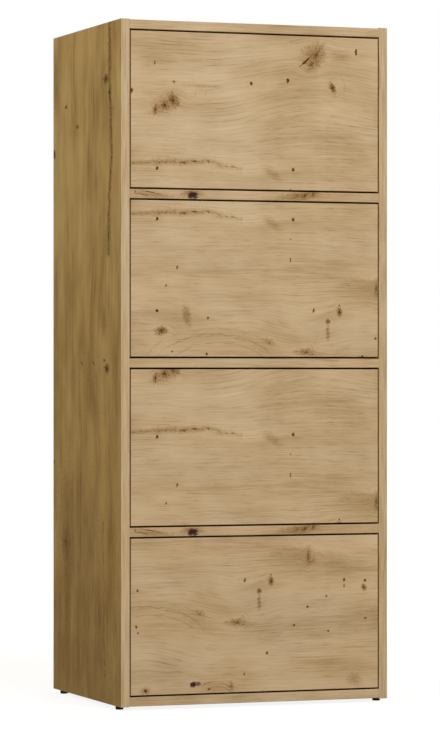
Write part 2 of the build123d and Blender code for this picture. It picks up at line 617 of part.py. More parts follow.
def make_stay_arm(name, bay, side):
    """Flat arm from the rivet at its origin towards the stud, with the slot that the stud runs in."""
    rivet = (side * (INNER_X - ARM_INSET), HINGE_Y + RIVET_BACK, hinge_z(bay) + RIVET_UP)
    towards_stud = (0, STUD_BACK - RIVET_BACK, STUD_UP - RIVET_UP)
    shut = stay_reach(0)
    open_reach = stay_reach(FLAP_OPENING)
    slot_width = STUD_DIAMETER + 2 * SLOT_PLAY
    slot_length = open_reach - shut
    arm_end = open_reach + slot_width / 2 + SLOT_END_WALL - ARM_WIDTH / 2
    with BuildPart() as arm:
        with BuildSketch(Plane(origin=rivet, x_dir=towards_stud, z_dir=(-side, 0, 0))):
            with Locations((arm_end / 2, 0)):
                SlotCenterToCenter(arm_end, ARM_WIDTH)
            with Locations(((shut + open_reach) / 2, 0)):
                SlotCenterToCenter(slot_length, slot_width, mode=Mode.SUBTRACT)
            Circle(RIVET_DIAMETER / 2 + FIT, mode=Mode.SUBTRACT)
        extrude(amount=ARM_THICKNESS)
    save(arm, name)


os.makedirs("parts", exist_ok=True)

for side_name, side_sign in SIDES.items():
    make_side_panel(f"{side_name}_side_panel", side_sign)
make_level_board("bottom_panel", 0)
make_level_board("top_panel", BAYS)
for divider in range(1, BAYS):
    make_level_board(f"divider_{divider}", BAYS - divider)
make_back_panel()
make_floor_glides()
make_cam_joints()
make_shelf_supports()
make_pivot_bushes()
make_stay_studs()
make_wall_brackets()
make_carcass_screws()

for bay_number in BAY_NUMBERS:
    make_shoe_shelf(f"shoe_shelf_{bay_number}", bay_number)
    make_latch_housing(f"latch_housing_{bay_number}", bay_number)
    make_latch_plunger(f"latch_plunger_{bay_number}", bay_number)
    make_flap_board(f"flap_{bay_number}_board", bay_number)
    make_hinge_pins(f"flap_{bay_number}_hinge_pins", bay_number)
    make_stay_brackets(f"flap_{bay_number}_stay_brackets", bay_number)
    make_strike_plate(f"flap_{bay_number}_strike_plate", bay_number)
    make_flap_fasteners(f"flap_{bay_number}_fasteners", bay_number)
    for side_name, side_sign in SIDES.items():
        make_stay_arm(f"flap_{bay_number}_{side_name}_stay_arm", bay_number, side_sign)
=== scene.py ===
from collections import namedtuple
from math import atan2, cos, degrees, hypot, radians, sin, tau

import bmesh
import bpy
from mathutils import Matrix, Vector


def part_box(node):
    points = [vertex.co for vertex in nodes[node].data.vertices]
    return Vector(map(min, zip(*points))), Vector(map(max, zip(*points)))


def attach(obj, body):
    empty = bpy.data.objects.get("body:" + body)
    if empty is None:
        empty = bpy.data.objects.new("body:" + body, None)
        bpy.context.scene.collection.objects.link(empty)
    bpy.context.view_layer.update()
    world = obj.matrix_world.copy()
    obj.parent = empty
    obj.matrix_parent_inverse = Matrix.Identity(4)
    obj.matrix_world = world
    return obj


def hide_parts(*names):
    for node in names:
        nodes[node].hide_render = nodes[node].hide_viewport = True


# Looks of a shoe cabinet in knotty oak decor: four fall flaps in a board carcass.
# Metres, X to the right as seen from the front, Y to the back, Z up.

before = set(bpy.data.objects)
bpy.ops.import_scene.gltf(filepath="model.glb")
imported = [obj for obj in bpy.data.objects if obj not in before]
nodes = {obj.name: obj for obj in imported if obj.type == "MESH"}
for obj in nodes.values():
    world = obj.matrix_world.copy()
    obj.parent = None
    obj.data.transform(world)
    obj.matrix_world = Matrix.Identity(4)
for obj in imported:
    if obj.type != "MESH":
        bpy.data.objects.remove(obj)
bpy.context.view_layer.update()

MM = 0.001
FLAPS = (1, 2, 3, 4)  # from the top down


def srgb(red, green, blue):
    """Linear colour of an 8 bit screen colour, with alpha."""
    def linear(level):
        share = level / 255
        return share / 12.92 if share <= 0.04045 else ((share + 0.055) / 1.055) ** 2.4
    return (linear(red), linear(green), linear(blue), 1.0)


class Desk:
    """Adds and links the nodes of one tree. A value may be a number, a tuple or a socket."""

    def __init__(self, tree):
        self.tree = tree

    def feed(self, socket, value):
        if isinstance(value, bpy.types.NodeSocket):
            self.tree.links.new(value, socket)
        else:
            socket.default_value = value

    def add(self, kind, inputs=None, **settings):
        node = self.tree.nodes.new(kind)
        for name, value in settings.items():
            setattr(node, name, value)
        for key, value in (inputs or {}).items():
            self.feed(node.inputs[key], value)
        return node

    def math(self, operation, first, second=0.0, third=0.0, clamp=False):
        values = {0: first, 1: second, 2: third}
        return self.add("ShaderNodeMath", values, operation=operation, use_clamp=clamp).outputs[0]

    def fade(self, value, start, end, low=0.0, high=1.0):
        """Smooth change from low at start to high at end."""
        spread = {"Value": value, "From Min": start, "From Max": end, "To Min": low, "To Max": high}
        return self.add("ShaderNodeMapRange", spread, interpolation_type="SMOOTHSTEP").outputs[0]

    def spread(self, value, low, high):
        """A value from 0 to 1 laid out from low to high."""
        return self.math("MULTIPLY_ADD", value, high - low, low)

    def blend(self, first, second, share):
        """Two values added up, with this share of the second and the rest of the first."""
        return self.math("MULTIPLY_ADD", first, 1 - share, self.math("MULTIPLY", second, share))

    def centred(self, value):
        """A value from 0 to 1 moved to lie about 0."""
        return self.math("SUBTRACT", value, 0.5)

    def point(self, **parts):
        """Vector put together from its X, Y and Z."""
        return self.add("ShaderNodeCombineXYZ", parts).outputs[0]

    def split(self, vector):
        """X, Y and Z of a vector."""
        return self.add("ShaderNodeSeparateXYZ", {0: vector}).outputs

    def length(self, vector):
        return self.add("ShaderNodeVectorMath", {0: vector}, operation="LENGTH").outputs["Value"]

    def stretch(self, vector, *factors):
        return self.add("ShaderNodeVectorMath", {0: vector, 1: factors}, operation="MULTIPLY").outputs[0]

    def noise(self, vector, scale=1.0, detail=2.0, roughness=0.5, dimensions="3D"):
        values = {"Vector": vector, "Scale": scale, "Detail": detail, "Roughness": roughness}
        return self.add("ShaderNodeTexNoise", values, noise_dimensions=dimensions).outputs["Fac"]

    def pattern(self, place, rate, detail=2.0, roughness=0.5):
        """Flat noise with so many repeats in a metre along and across."""
        return self.noise(self.stretch(place, *rate, 0), 1.0, detail, roughness, "2D")

    def mix(self, share, first, second, blend="MIX"):
        node = self.add("ShaderNodeMix", data_type="RGBA", blend_type=blend)
        self.feed(node.inputs["Factor"], share)
        self.feed(node.inputs[6], first)
        self.feed(node.inputs[7], second)
        return node.outputs[2]

    def choose(self, share, first, second):
        """First where share is 0, second where it is 1."""
        return self.add("ShaderNodeMix", {0: share, 2: first, 3: second}, data_type="FLOAT").outputs[0]

    def ramp(self, share, *stops):
        """Colour that runs through pairs of place and colour."""
        node = self.add("ShaderNodeValToRGB", {"Fac": share})
        elements = node.color_ramp.elements
        while len(elements) < len(stops):
            elements.new(1.0)
        for element, (place, colour) in zip(elements, stops):
            element.position = place
            element.color = colour
        return node.outputs["Color"]

    def bump(self, height, strength, depth):
        values = {"Strength": strength, "Distance": depth, "Height": height}
        return self.add("ShaderNodeBump", values).outputs["Normal"]

    def decor(self, group, along, across):
        """Colour, roughness and relief of a printed sheet at a place on it."""
        place = {"Along": along, "Across": across}
        return self.add("ShaderNodeGroup", place, node_tree=group).outputs


def empty_desk(owner):
    """Desk on the cleared node tree of a material or a world."""
    owner.use_nodes = True
    owner.node_tree.nodes.clear()
    return Desk(owner.node_tree)


def group_tree(name, kind, inputs, outputs):
    """Empty node group with sockets given as labels and types."""
    tree = bpy.data.node_groups.new(name, kind)
    for way, sockets in (("INPUT", inputs), ("OUTPUT", outputs)):
        for label, socket_type in sockets.items():
            tree.interface.new_socket(label, in_out=way, socket_type="NodeSocket" + socket_type)
    return tree


# Marks of the printed oak, in millimetres along and across the grain.
# A knot has a dark heart and a brown cloud and bends the grain, a speck is only dark, a smudge
# is only brown, a gleam is only pale, and a plum knot is purplish. A crack is a broken dark
# line, an arch is the upper half of a thin ring, and a swell lifts the grain lines.
Mark = namedtuple("Mark", "along across length breadth turn shade")
Swell = namedtuple("Swell", "along across length breadth turn rise")
SHEET_FIELDS = "knots specks smudges gleams plums cracks arches swells"
Sheet = namedtuple("Sheet", SHEET_FIELDS, defaults=[()] * len(SHEET_FIELDS.split()))


def crack(breadth, shade, *points):
    """Marks laid end to end along a line of points."""
    marks = []
    for (along, across), (next_along, next_across) in zip(points, points[1:]):
        step, climb = next_along - along, next_across - across
        middle = ((along + next_along) / 2, (across + next_across) / 2)
        marks.append(Mark(*middle, hypot(step, climb), breadth, degrees(atan2(climb, step)), shade))
    return marks


FRONT_SHEET = Sheet(
    knots=(
        Mark(-187, 102, 8, 16, -10, 1.00),
        Mark(-170, 109, 17, 14, 30, 1.00),
        Mark(-155, 118, 20, 22, 20, 0.80),
        Mark(113, 205, 30, 40, -25, 0.62),
        Mark(104, 188, 26, 20, 30, 0.62),
        Mark(145, 148, 9, 17, 25, 1.15),
        Mark(-177, -195, 19, 12, 10, 1.00),
        Mark(158, -161, 8, 13, 0, 1.15),
        Mark(136, -177, 8, 8, 0, 1.05),
        Mark(94, -232, 34, 12, 0, 0.55),
        Mark(229, -118, 10, 28, 0, 0.62),
        Mark(237, -126, 16, 9, 20, 0.34),
        Mark(24, -215, 24, 12, -20, 0.32),
        Mark(84, -344, 8, 16, 10, 0.40),
        Mark(335, -175, 8, 11, 20, 1.05),
    ),
    specks=(
        Mark(94, 194, 48, 4.5, 42, 0.95),
        Mark(91, 191, 20, 7.0, 42, 0.75),
        Mark(-232, 133, 10, 14, 0, 0.90),
        Mark(-188, 183, 4, 12, 0, 0.70),
        Mark(-153, 151, 7, 6, 0, 0.65),
        Mark(-184, 0, 7, 10, 0, 0.90),
        Mark(190, 213, 6, 17, 0, 0.85),
        Mark(60, 159, 8, 11, 0, 0.95),
        Mark(-9, 152, 8, 8, 0, 0.85),
        Mark(70, 2, 8, 8, 0, 0.90),
        Mark(-113, 131, 3, 17, -5, 0.10),
        Mark(-94, 133, 3, 14, -15, 0.10),
        Mark(-167, -116, 5, 8, -15, 0.65),
        Mark(-147, -84, 5, 11, -10, 0.45),
        Mark(-184, -160, 8, 8, 0, 0.90),
        Mark(-90, -172, 6, 7, 0, 0.65),
        Mark(-156, -231, 6, 6, 0, 0.50),
        Mark(-92, -235, 5, 9, 20, 0.75),
        Mark(65, -69, 4, 13, 0, 0.45),
        Mark(65, -33, 6, 4, 0, 0.35),
        Mark(109, -158, 5, 10, -20, 0.85),
        Mark(158, -149, 4, 6, 0, 0.55),
        Mark(227, -207, 6, 7, 0, 0.65),
        Mark(-89, -246, 5, 5, 0, 0.60),
        Mark(42, -347, 9, 5, 40, 0.60),
        Mark(297, -161, 6, 11, -15, 0.85),
        Mark(297, -171, 5, 9, 0, 0.45),
        Mark(337, -163, 6, 9, -10, 0.75),
        Mark(263, -189, 5, 6, 0, 0.60),
        Mark(338, -230, 7, 6, 0, 0.80),
        Mark(202, -239, 6, 7, 0, 0.75),
        Mark(267, -251, 6, 5, 0, 0.60),
        Mark(151, -287, 6, 7, 0, 0.75),
        Mark(108, -323, 4, 7, 0, 0.60),
        Mark(-75, -347, 10, 12, 0, 0.75),
    ),
    smudges=(
        Mark(106, 203, 56, 48, 30, 0.45),
        Mark(160, 205, 54, 26, 0, 0.24),
        Mark(-170, 109, 60, 36, 20, 0.42),
        Mark(-129, -168, 18, 44, 10, 0.44),
        Mark(136, -196, 8, 36, 0, 0.50),
        Mark(228, -119, 60, 40, 0, 0.18),
        Mark(205, -105, 70, 8, -4, 0.14),
        Mark(30, -5, 44, 18, -30, 0.25),
        Mark(-95, 145, 104, 9, -2, 0.18),
        Mark(14, -222, 60, 34, -15, 0.13),
        Mark(200, -112, 90, 30, -10, 0.12),
        Mark(270, -124, 70, 40, 0, 0.12),
        Mark(316, -338, 36, 26, 0, 0.30),
        Mark(-75, -347, 22, 18, 0, 0.40),
        Mark(120, -236, 50, 16, 0, 0.14),
    ),
    gleams=(
        Mark(174, 162, 52, 28, 0, 0.70),
        Mark(-28, 148, 80, 26, 0, 0.55),
        Mark(149, -202, 13, 34, 0, 0.80),
        Mark(-60, -262, 150, 46, 0, 0.50),
        Mark(-200, 215, 60, 40, 0, 0.40),
        Mark(5, -190, 34, 26, -30, 0.45),
        Mark(180, 100, 200, 280, 0, 0.42),
    ),
    plums=(Mark(13, -338, 12, 10, 0, 1.00), Mark(22, -337, 12, 8, 0, 0.45)),
    cracks=(
        *crack(9, 1.00, (-236, 8.5), (-193, 9)),
        *crack(14, 0.90, (-193, 9), (-145, 11), (-95, 15)),
        *crack(14, 0.70, (-95, 15), (-60, 6)),
        *crack(14, 0.40, (-60, 6), (-25, 2)),
        *crack(6, 0.45, (-40, -208), (-8, -213), (20, -226)),
    ),
    arches=(
        Mark(-75, -272, 240, 144, 0, 0.34),
        Mark(-70, -276, 206, 122, 0, 0.24),
        Mark(-78, -270, 282, 160, 0, 0.18),
        Mark(146, 152, 50, 44, -60, 0.14),
        Mark(56, -353, 62, 36, -8, 0.60),
        Mark(62, -355, 44, 22, -8, 0.50),
        Mark(100, -229, 22, 18, -90, 0.55),
        Mark(103, -229, 32, 26, -90, 0.40),
    ),
    swells=(
        Swell(120, 130, 480, 260, 0, 26),
        Swell(-75, -268, 290, 120, 0, 26),
        Swell(90, -190, 220, 150, 0, -18),
    ),
)
SIDE_SHEET = Sheet(
    knots=(
        Mark(1099, -112, 15, 26, 0, 1.15),
        Mark(591, -117, 15, 24, 0, 1.15),
        Mark(276, 120, 40, 44, 0, 0.60),
    ),
    specks=(
        Mark(1099, -112, 12, 18, 0, 1.10),
        Mark(591, -117, 13, 15, 0, 1.10),
        Mark(1074, -132, 11, 20, 0, 1.00),
        Mark(1066, 118, 9, 18, 0, 0.95),
        Mark(1026, 51, 11, 24, 0, 0.45),
        Mark(984, 189, 22, 18, 0, 1.00),
        Mark(606, -103, 8, 22, 0, 0.45),
        Mark(601, 25, 7, 24, -30, 0.65),
        Mark(601, -42, 7, 22, -30, 0.60),
        Mark(420, 192, 11, 14, 0, 0.75),
    ),
    smudges=(
        Mark(276, 120, 80, 60, 0, 0.34),
        Mark(300, 110, 300, 90, 0, 0.18),
        Mark(170, -65, 120, 50, 0, 0.16),
        Mark(85, -65, 100, 50, 0, 0.15),
        Mark(75, 40, 100, 60, 0, 0.18),
        Mark(676, -100, 60, 34, 0, 0.35),
        Mark(600, 0, 160, 110, 0, 0.18),
        Mark(170, 110, 160, 50, 0, 0.20),
        Mark(1110, 180, 160, 60, 0, 0.30),
        # Painted shade: this broad stain darkens the lower part of each side panel, towards the floor
        Mark(120, 0, 1100, 800, 0, 0.19),
    ),
    cracks=(
        *crack(22, 1.50, (1205, -133), (1110, -131), (1030, -139), (965, -144), (900, -130), (790, -126)),
        *crack(26, 0.60, (330, -95), (40, -105)),
    ),
    swells=(Swell(600, -20, 500, 200, 0, 24),),
)
LEVEL_SHEET = Sheet(
    knots=(
        Mark(92, 1, 26, 10, 30, 0.80),
        Mark(108, 4, 18, 9, 40, 0.70),
        Mark(76, 3, 20, 7, -20, 0.50),
        Mark(985, 160, 18, 14, 0, 0.90),
        Mark(1585, 130, 20, 16, 15, 0.90),
        Mark(1830, 290, 26, 20, -20, 0.80),
        Mark(1846, 301, 14, 10, 0, 0.70),
        Mark(2520, 140, 16, 12, 0, 0.90),
        Mark(4040, 150, 16, 14, 0, 0.90),
        Mark(4890, 90, 22, 14, 10, 0.80),
        Mark(5385, 210, 14, 18, 0, 0.90),
        Mark(6240, 120, 24, 16, -15, 0.80),
    ),
    specks=(
        Mark(-196, 3, 70, 2.4, -11, 0.60),
        Mark(-213, -1, 44, 2.2, -12, 0.50),
        Mark(-224, 4, 3, 9, 20, 0.40),
        Mark(-60, 120, 9, 8, 0, 0.75),
        Mark(1530, 330, 6, 7, 0, 0.65),
        Mark(1650, 60, 5, 9, 0, 0.70),
        Mark(1700, 245, 7, 8, 0, 0.80),
        Mark(1905, 85, 8, 9, 0, 0.75),
        Mark(2700, 250, 8, 7, 0, 0.75),
        Mark(4180, 90, 7, 8, 0, 0.75),
        Mark(4700, 240, 8, 7, 0, 0.70),
        Mark(5590, 130, 7, 9, 0, 0.75),
        Mark(6120, 260, 6, 8, 0, 0.70),
    ),
    smudges=(
        Mark(-118, 1, 48, 16, 0, 0.55),
        Mark(-190, -1, 100, 14, -6, 0.26),
        Mark(86, 1, 100, 16, 4, 0.38),
        Mark(0, 0, 560, 60, 0, 0.07),
        Mark(1585, 130, 64, 36, 0, 0.30),
        Mark(1832, 292, 90, 50, -15, 0.30),
    ),
    plums=(Mark(-118, -1, 19, 14, 0, 0.80),),
    cracks=tuple(crack(10, 0.80, (1640, 350), (1700, 346), (1765, 352))),
)
BARE_SHEET = Sheet()

OAK_DARK = srgb(154, 129, 90)
OAK_MIDDLE = srgb(187, 165, 132)
OAK_LIGHT = srgb(205, 186, 154)
OAK_GOLD = srgb(254, 251, 246)
OAK_PALE = srgb(253, 252, 252)
KNOT_HEART = srgb(60, 34, 9)  # where a stain is at its full strength
OLIVE_HEART = srgb(57, 37, 10)
PLUM_HEART = srgb(60, 38, 46)
SIDE_SHADE_TINT = srgb(253, 251, 225)  # over both faces of a side panel: a yellower cast of painted shade, the warm tone of the side in shade

RING_WIDTH = 6.5 * MM  # of one year's growth
WAVE_HEIGHT = 22 * MM  # of the slow waves in the grain

# Repeats of each pattern in a metre, along and across the grain
WAVES = (2.6, 6.5)
HAIRS = (150, 210)
TEETH = (190, 280)
WANDERING = (45, 24)
DASHES = (85, 170)
BRUSH = (45, 420)
RING_SPACING = (1.4, 9)
RING_SHAKE = (5, 55)
RING_BREAKS = (17, 200)
RING_PATCHES = (7, 24)
DRIFT = (2.5, 6)
CLOUDS = (9, 20)
BANDS = (2.4, 30)
FIBRES = (10, 520)
PORES = (32, 800)
HUES = (4.0, 11)

# Levels of a noise between which its pattern comes in, and its strength at the first and the second
HAIR_LEVELS = (0.0, 0.07, 1.9, 0.75)
DASH_LEVELS = (0.46, 0.66, 0.16, 1.0)
BRUSH_LEVELS = (0.28, 0.66, 0.45, 1.0)
ARCH_LEVELS = (-0.15, 0.10, 0.25, 1.0)
BREAK_LEVELS = (0.42, 0.58, 0.2, 1.0)
PATCH_LEVELS = (0.44, 0.62, 0.0, 1.0)
PORE_LEVELS = (0.60, 0.72, 0.0, 1.0)
HUE_LEVELS = (0.35, 0.65, 0.0, 1.0)

# Dark end of a year ring, as shares of its width: where it comes in and where it stops
LATE_RISE = (0.70, 0.94)
LATE_STOP = (0.95, 1.0)
SPACING_SIZE = 4.5  # rings by which their spacing drifts
SHAKE_SIZE = 2.2  # rings by which their lines shake

# Strength of a full stain: 1 turns plain oak into the colour of a knot's heart
CLOUD_STAIN = 0.36
HEART_STAIN = 0.85
SMUDGE_STAIN = 0.55
CRACK_STAIN = 0.50
SMEAR_STAIN = 0.12
ARCH_STAIN = 0.36
GLEAM_STAIN = -0.11

# Distances from the middle of a mark between which it fades out, with its outline at 1
CLOUD_FADE = (0.2, 1.7)
HEART_FADE = (0.0, 0.70)
BEND_FADE = (0.6, 3.0)
SPECK_FADE = (0.10, 0.95)
SMUDGE_FADE = (0.1, 1.2)
GLEAM_FADE = (0.2, 1.3)
PLUM_FADE = (0.5, 1.2)
CRACK_FADE = (0.04, 0.30)
SMEAR_FADE = (0.1, 1.3)
CRACK_END = (0.90, 1.10)

KNOT_BEND = 0.6  # share of their distance by which grain lines are pushed off a knot
KNOT_TEAR = 1.5  # how far the rays of a knot pull its outline in and out
RAY_RATES = (0.35, 0.45, 0.55, 0.65)  # of the change round a knot, taken in turn
RAY_CHANGE = 1.4  # rate of the change from the middle of a knot outwards
TEETH_SIZE = 1.3
WANDER_SIZE = 1.2
CRACK_TEAR = 0.9
ARCH_LINE = 1.6  # width of an arch's line in millimetres
ARCH_EDGE = (0.3, 1.6)  # widths of the line between which it fades out sideways
ARCH_TEAR = 0.7
ARCH_WANDER = 0.09
ARCH_FOOT = (0.25, 0.7)  # heights between which the line comes up from nothing


def cut_sheet(sheet, low, high):
    """The marks of a sheet that fall on a board between two corners, in metres."""
    def falls_on(mark):
        reach = max(mark.length, mark.breadth) / 2
        beside = low[0] / MM - reach < mark.along < high[0] / MM + reach
        return beside and low[1] / MM - reach < mark.across < high[1] / MM + reach
    return Sheet(*(tuple(filter(falls_on, marks)) for marks in sheet))


def mark_place(desk, point, mark):
    """A point seen from the middle of a mark, with the mark's outline at a distance of 1."""
    values = {
        "Vector": point,
        "Location": (mark.along * MM, mark.across * MM, 0),
        "Rotation": (0, 0, radians(mark.turn)),
        "Scale": (mark.length / 2 * MM, mark.breadth / 2 * MM, 1),
    }
    return desk.add("ShaderNodeMapping", values, vector_type="TEXTURE").outputs[0]


def swollen_grain(desk, swells, point, across):
    """Grain lines lifted over the swells."""
    for swell in swells:
        distance = desk.length(mark_place(desk, point, swell))
        across = desk.math("ADD", across, desk.fade(distance, 0.0, 1.0, -swell.rise * MM, 0.0))
    return across


def knot_stain(desk, knots, point, across, hairs):
    """Stain of the knots, each a brown cloud with dark hairs and a small heart, and the grain
    lines that pass round them."""
    stain, bent = 0.0, across
    for number, mark in enumerate(knots):
        placed = mark_place(desk, point, mark)
        distance = desk.length(placed)
        ray = desk.add("ShaderNodeVectorMath", {0: placed}, operation="NORMALIZE").outputs[0]
        rate = RAY_RATES[number % len(RAY_RATES)]
        round_it = {0: ray, 1: (rate, rate, 0), 2: desk.stretch(placed, RAY_CHANGE, RAY_CHANGE, 0)}
        ray_place = desk.add("ShaderNodeVectorMath", round_it, operation="MULTIPLY_ADD").outputs[0]
        rays = desk.noise(ray_place, detail=3.0, roughness=0.6, dimensions="2D")
        torn = desk.math("MULTIPLY_ADD", desk.centred(rays), KNOT_TEAR, distance)
        cloud = desk.fade(torn, *CLOUD_FADE, CLOUD_STAIN * mark.shade, 0.0)
        drawn = desk.math("MULTIPLY", cloud, hairs)
        heart = desk.fade(torn, *HEART_FADE, HEART_STAIN * mark.shade, 0.0)
        stain = desk.math("MAXIMUM", stain, desk.math("MAXIMUM", heart, drawn))
        offset = desk.math("SUBTRACT", across, mark.across * MM)
        pull = desk.fade(distance, *BEND_FADE, -KNOT_BEND * min(1.0, mark.shade), 0.0)
        bent = desk.math("MULTIPLY_ADD", offset, pull, bent)
    return stain, bent


def round_stain(desk, marks, point, ragged, limits, strength=1.0, overlap="MAXIMUM"):
    """Stain of many round marks, each fading out between two limits."""
    stain = 0.0
    for mark in marks:
        torn = desk.math("ADD", desk.length(mark_place(desk, point, mark)), ragged)
        stain = desk.math(overlap, stain, desk.fade(torn, *limits, mark.shade * strength, 0.0))
    return stain


def crack_stain(desk, cracks, point, ragged, wander, hairs):
    """Dark broken lines that wander, with a brown smear beside them."""
    dash_noise = desk.pattern(point, DASHES, roughness=0.6)
    dashes = desk.fade(dash_noise, *DASH_LEVELS)
    stain = 0.0
    for mark in cracks:
        place = desk.split(mark_place(desk, point, mark))
        within = desk.fade(desk.math("ABSOLUTE", place["X"]), *CRACK_END, mark.shade, 0.0)
        wandered = desk.math("ADD", place["Y"], wander)
        aside = desk.math("ABSOLUTE", desk.math("MULTIPLY_ADD", ragged, CRACK_TEAR, wandered))
        line = desk.math("MULTIPLY", dashes, desk.fade(aside, *CRACK_FADE, CRACK_STAIN, 0.0))
        smear = desk.math("MULTIPLY", hairs, desk.fade(aside, *SMEAR_FADE, SMEAR_STAIN, 0.0))
        both = desk.math("MULTIPLY", within, desk.math("ADD", line, smear))
        stain = desk.math("MAXIMUM", stain, both)
    return stain


def arch_stain(desk, arches, point, ragged, wander):
    """Upper halves of uneven ring outlines, drawn thin."""
    stain = 0.0
    for mark in arches:
        placed = mark_place(desk, point, mark)
        line_width = ARCH_LINE / min(mark.length, mark.breadth)
        uneven = desk.math("MULTIPLY_ADD", wander, ARCH_WANDER, desk.length(placed))
        torn = desk.math("MULTIPLY_ADD", ragged, ARCH_TEAR * line_width, uneven)
        off_line = desk.math("ABSOLUTE", desk.math("SUBTRACT", torn, 1.0))
        limits = (share * line_width for share in ARCH_EDGE)
        line = desk.fade(off_line, *limits, mark.shade * ARCH_STAIN, 0.0)
        height = desk.split(placed)["Y"]
        broken = desk.math("MULTIPLY", line, desk.fade(wander, *ARCH_LEVELS))
        rising = desk.math("MULTIPLY", broken, desk.fade(height, *ARCH_FOOT))
        stain = desk.math("MAXIMUM", stain, rising)
    return stain


def sheet_stain(desk, sheet, flat, knots, hairs):
    """Stain of every mark but the plum knots, and stain of those, all with ragged outlines."""
    teeth = desk.pattern(flat, TEETH, detail=3.0, roughness=0.65)
    ragged = desk.math("MULTIPLY", desk.centred(teeth), TEETH_SIZE)
    wander_noise = desk.pattern(flat, WANDERING)
    wander = desk.math("MULTIPLY", desk.centred(wander_noise), WANDER_SIZE)
    brush = desk.pattern(flat, BRUSH, roughness=0.6)
    smudges = round_stain(desk, sheet.smudges, flat, ragged, SMUDGE_FADE, SMUDGE_STAIN, "ADD")
    stain = desk.math("MULTIPLY", smudges, desk.fade(brush, *BRUSH_LEVELS))
    gleams = round_stain(desk, sheet.gleams, flat, ragged, GLEAM_FADE, GLEAM_STAIN, "ADD")
    stain = desk.math("ADD", stain, gleams)
    stain = desk.math("MAXIMUM", stain, knots)
    specks = round_stain(desk, sheet.specks, flat, ragged, SPECK_FADE)
    stain = desk.math("MAXIMUM", stain, specks)
    cracks = crack_stain(desk, sheet.cracks, flat, ragged, wander, hairs)
    stain = desk.math("MAXIMUM", stain, cracks)
    arches = arch_stain(desk, sheet.arches, flat, ragged, wander)
    stain = desk.math("MAXIMUM", stain, arches)
    return stain, round_stain(desk, sheet.plums, flat, ragged, PLUM_FADE)


def late_wood(desk, grain, bent):
    """Dark ends of the year rings, broken along the grain and only here and there."""
    spacing = desk.pattern(grain, RING_SPACING, detail=1.0)
    shake = desk.pattern(grain, RING_SHAKE)
    even = desk.math("DIVIDE", bent, RING_WIDTH)
    count = desk.math("MULTIPLY_ADD", spacing, SPACING_SIZE, even)
    rings = desk.math("FRACT", desk.math("MULTIPLY_ADD", shake, SHAKE_SIZE, count))
    late = desk.math("MULTIPLY", desk.fade(rings, *LATE_RISE), desk.fade(rings, *LATE_STOP, 1.0, 0.0))
    breaks = desk.pattern(grain, RING_BREAKS)
    late = desk.math("MULTIPLY", late, desk.fade(breaks, *BREAK_LEVELS))
    patches = desk.pattern(grain, RING_PATCHES)
    return desk.math("MULTIPLY", late, desk.fade(patches, *PATCH_LEVELS))


def stained(desk, colour, stain, heart):
    """Oak darkened by a stain, as a dye does: each step deepens the colour by the same share."""
    full = [dark / plain for dark, plain in zip(heart, OAK_MIDDLE)]
    dye = desk.add("ShaderNodeGamma", {"Color": full, "Gamma": stain}).outputs[0]
    return desk.mix(1.0, colour, dye, blend="MULTIPLY")


# How strongly each pattern of the grain shows, how long and wide its streaks are, the tone of
# the plain oak between dark at 0 and light at 1, and the colour of its knots
Grain = namedtuple(
    "Grain", "drift clouds bands streaks fibres rings pores streak_length streak_width ground heart"
)
FRONT_GRAIN = Grain(
    drift=0.36, clouds=0.72, bands=0.52, streaks=0.32, fibres=0.55, rings=0.32, pores=0.20,
    streak_length=150 * MM, streak_width=3.6 * MM, ground=0.52, heart=KNOT_HEART,
)
SIDE_GRAIN = Grain(
    drift=0.80, clouds=1.00, bands=0.85, streaks=0.75, fibres=0.80, rings=0.20, pores=0.16,
    streak_length=200 * MM, streak_width=6.5 * MM, ground=0.52, heart=OLIVE_HEART,
)
EDGE_GRAIN = Grain(
    drift=0.15, clouds=0.20, bands=0.25, streaks=0.90, fibres=0.50, rings=0.30, pores=0.10,
    streak_length=90 * MM, streak_width=4.0 * MM, ground=0.59, heart=KNOT_HEART,
)
# Painted shade: the right side panel's edge band is a darker copy of the left one, for how the light falls
# on that edge
SHADED_EDGE_GRAIN = EDGE_GRAIN._replace(ground=0.47)
DECOR_ROUGHNESS = (0.48, 0.64)
STREAK_RELIEF, PORE_RELIEF = 0.5, -0.5


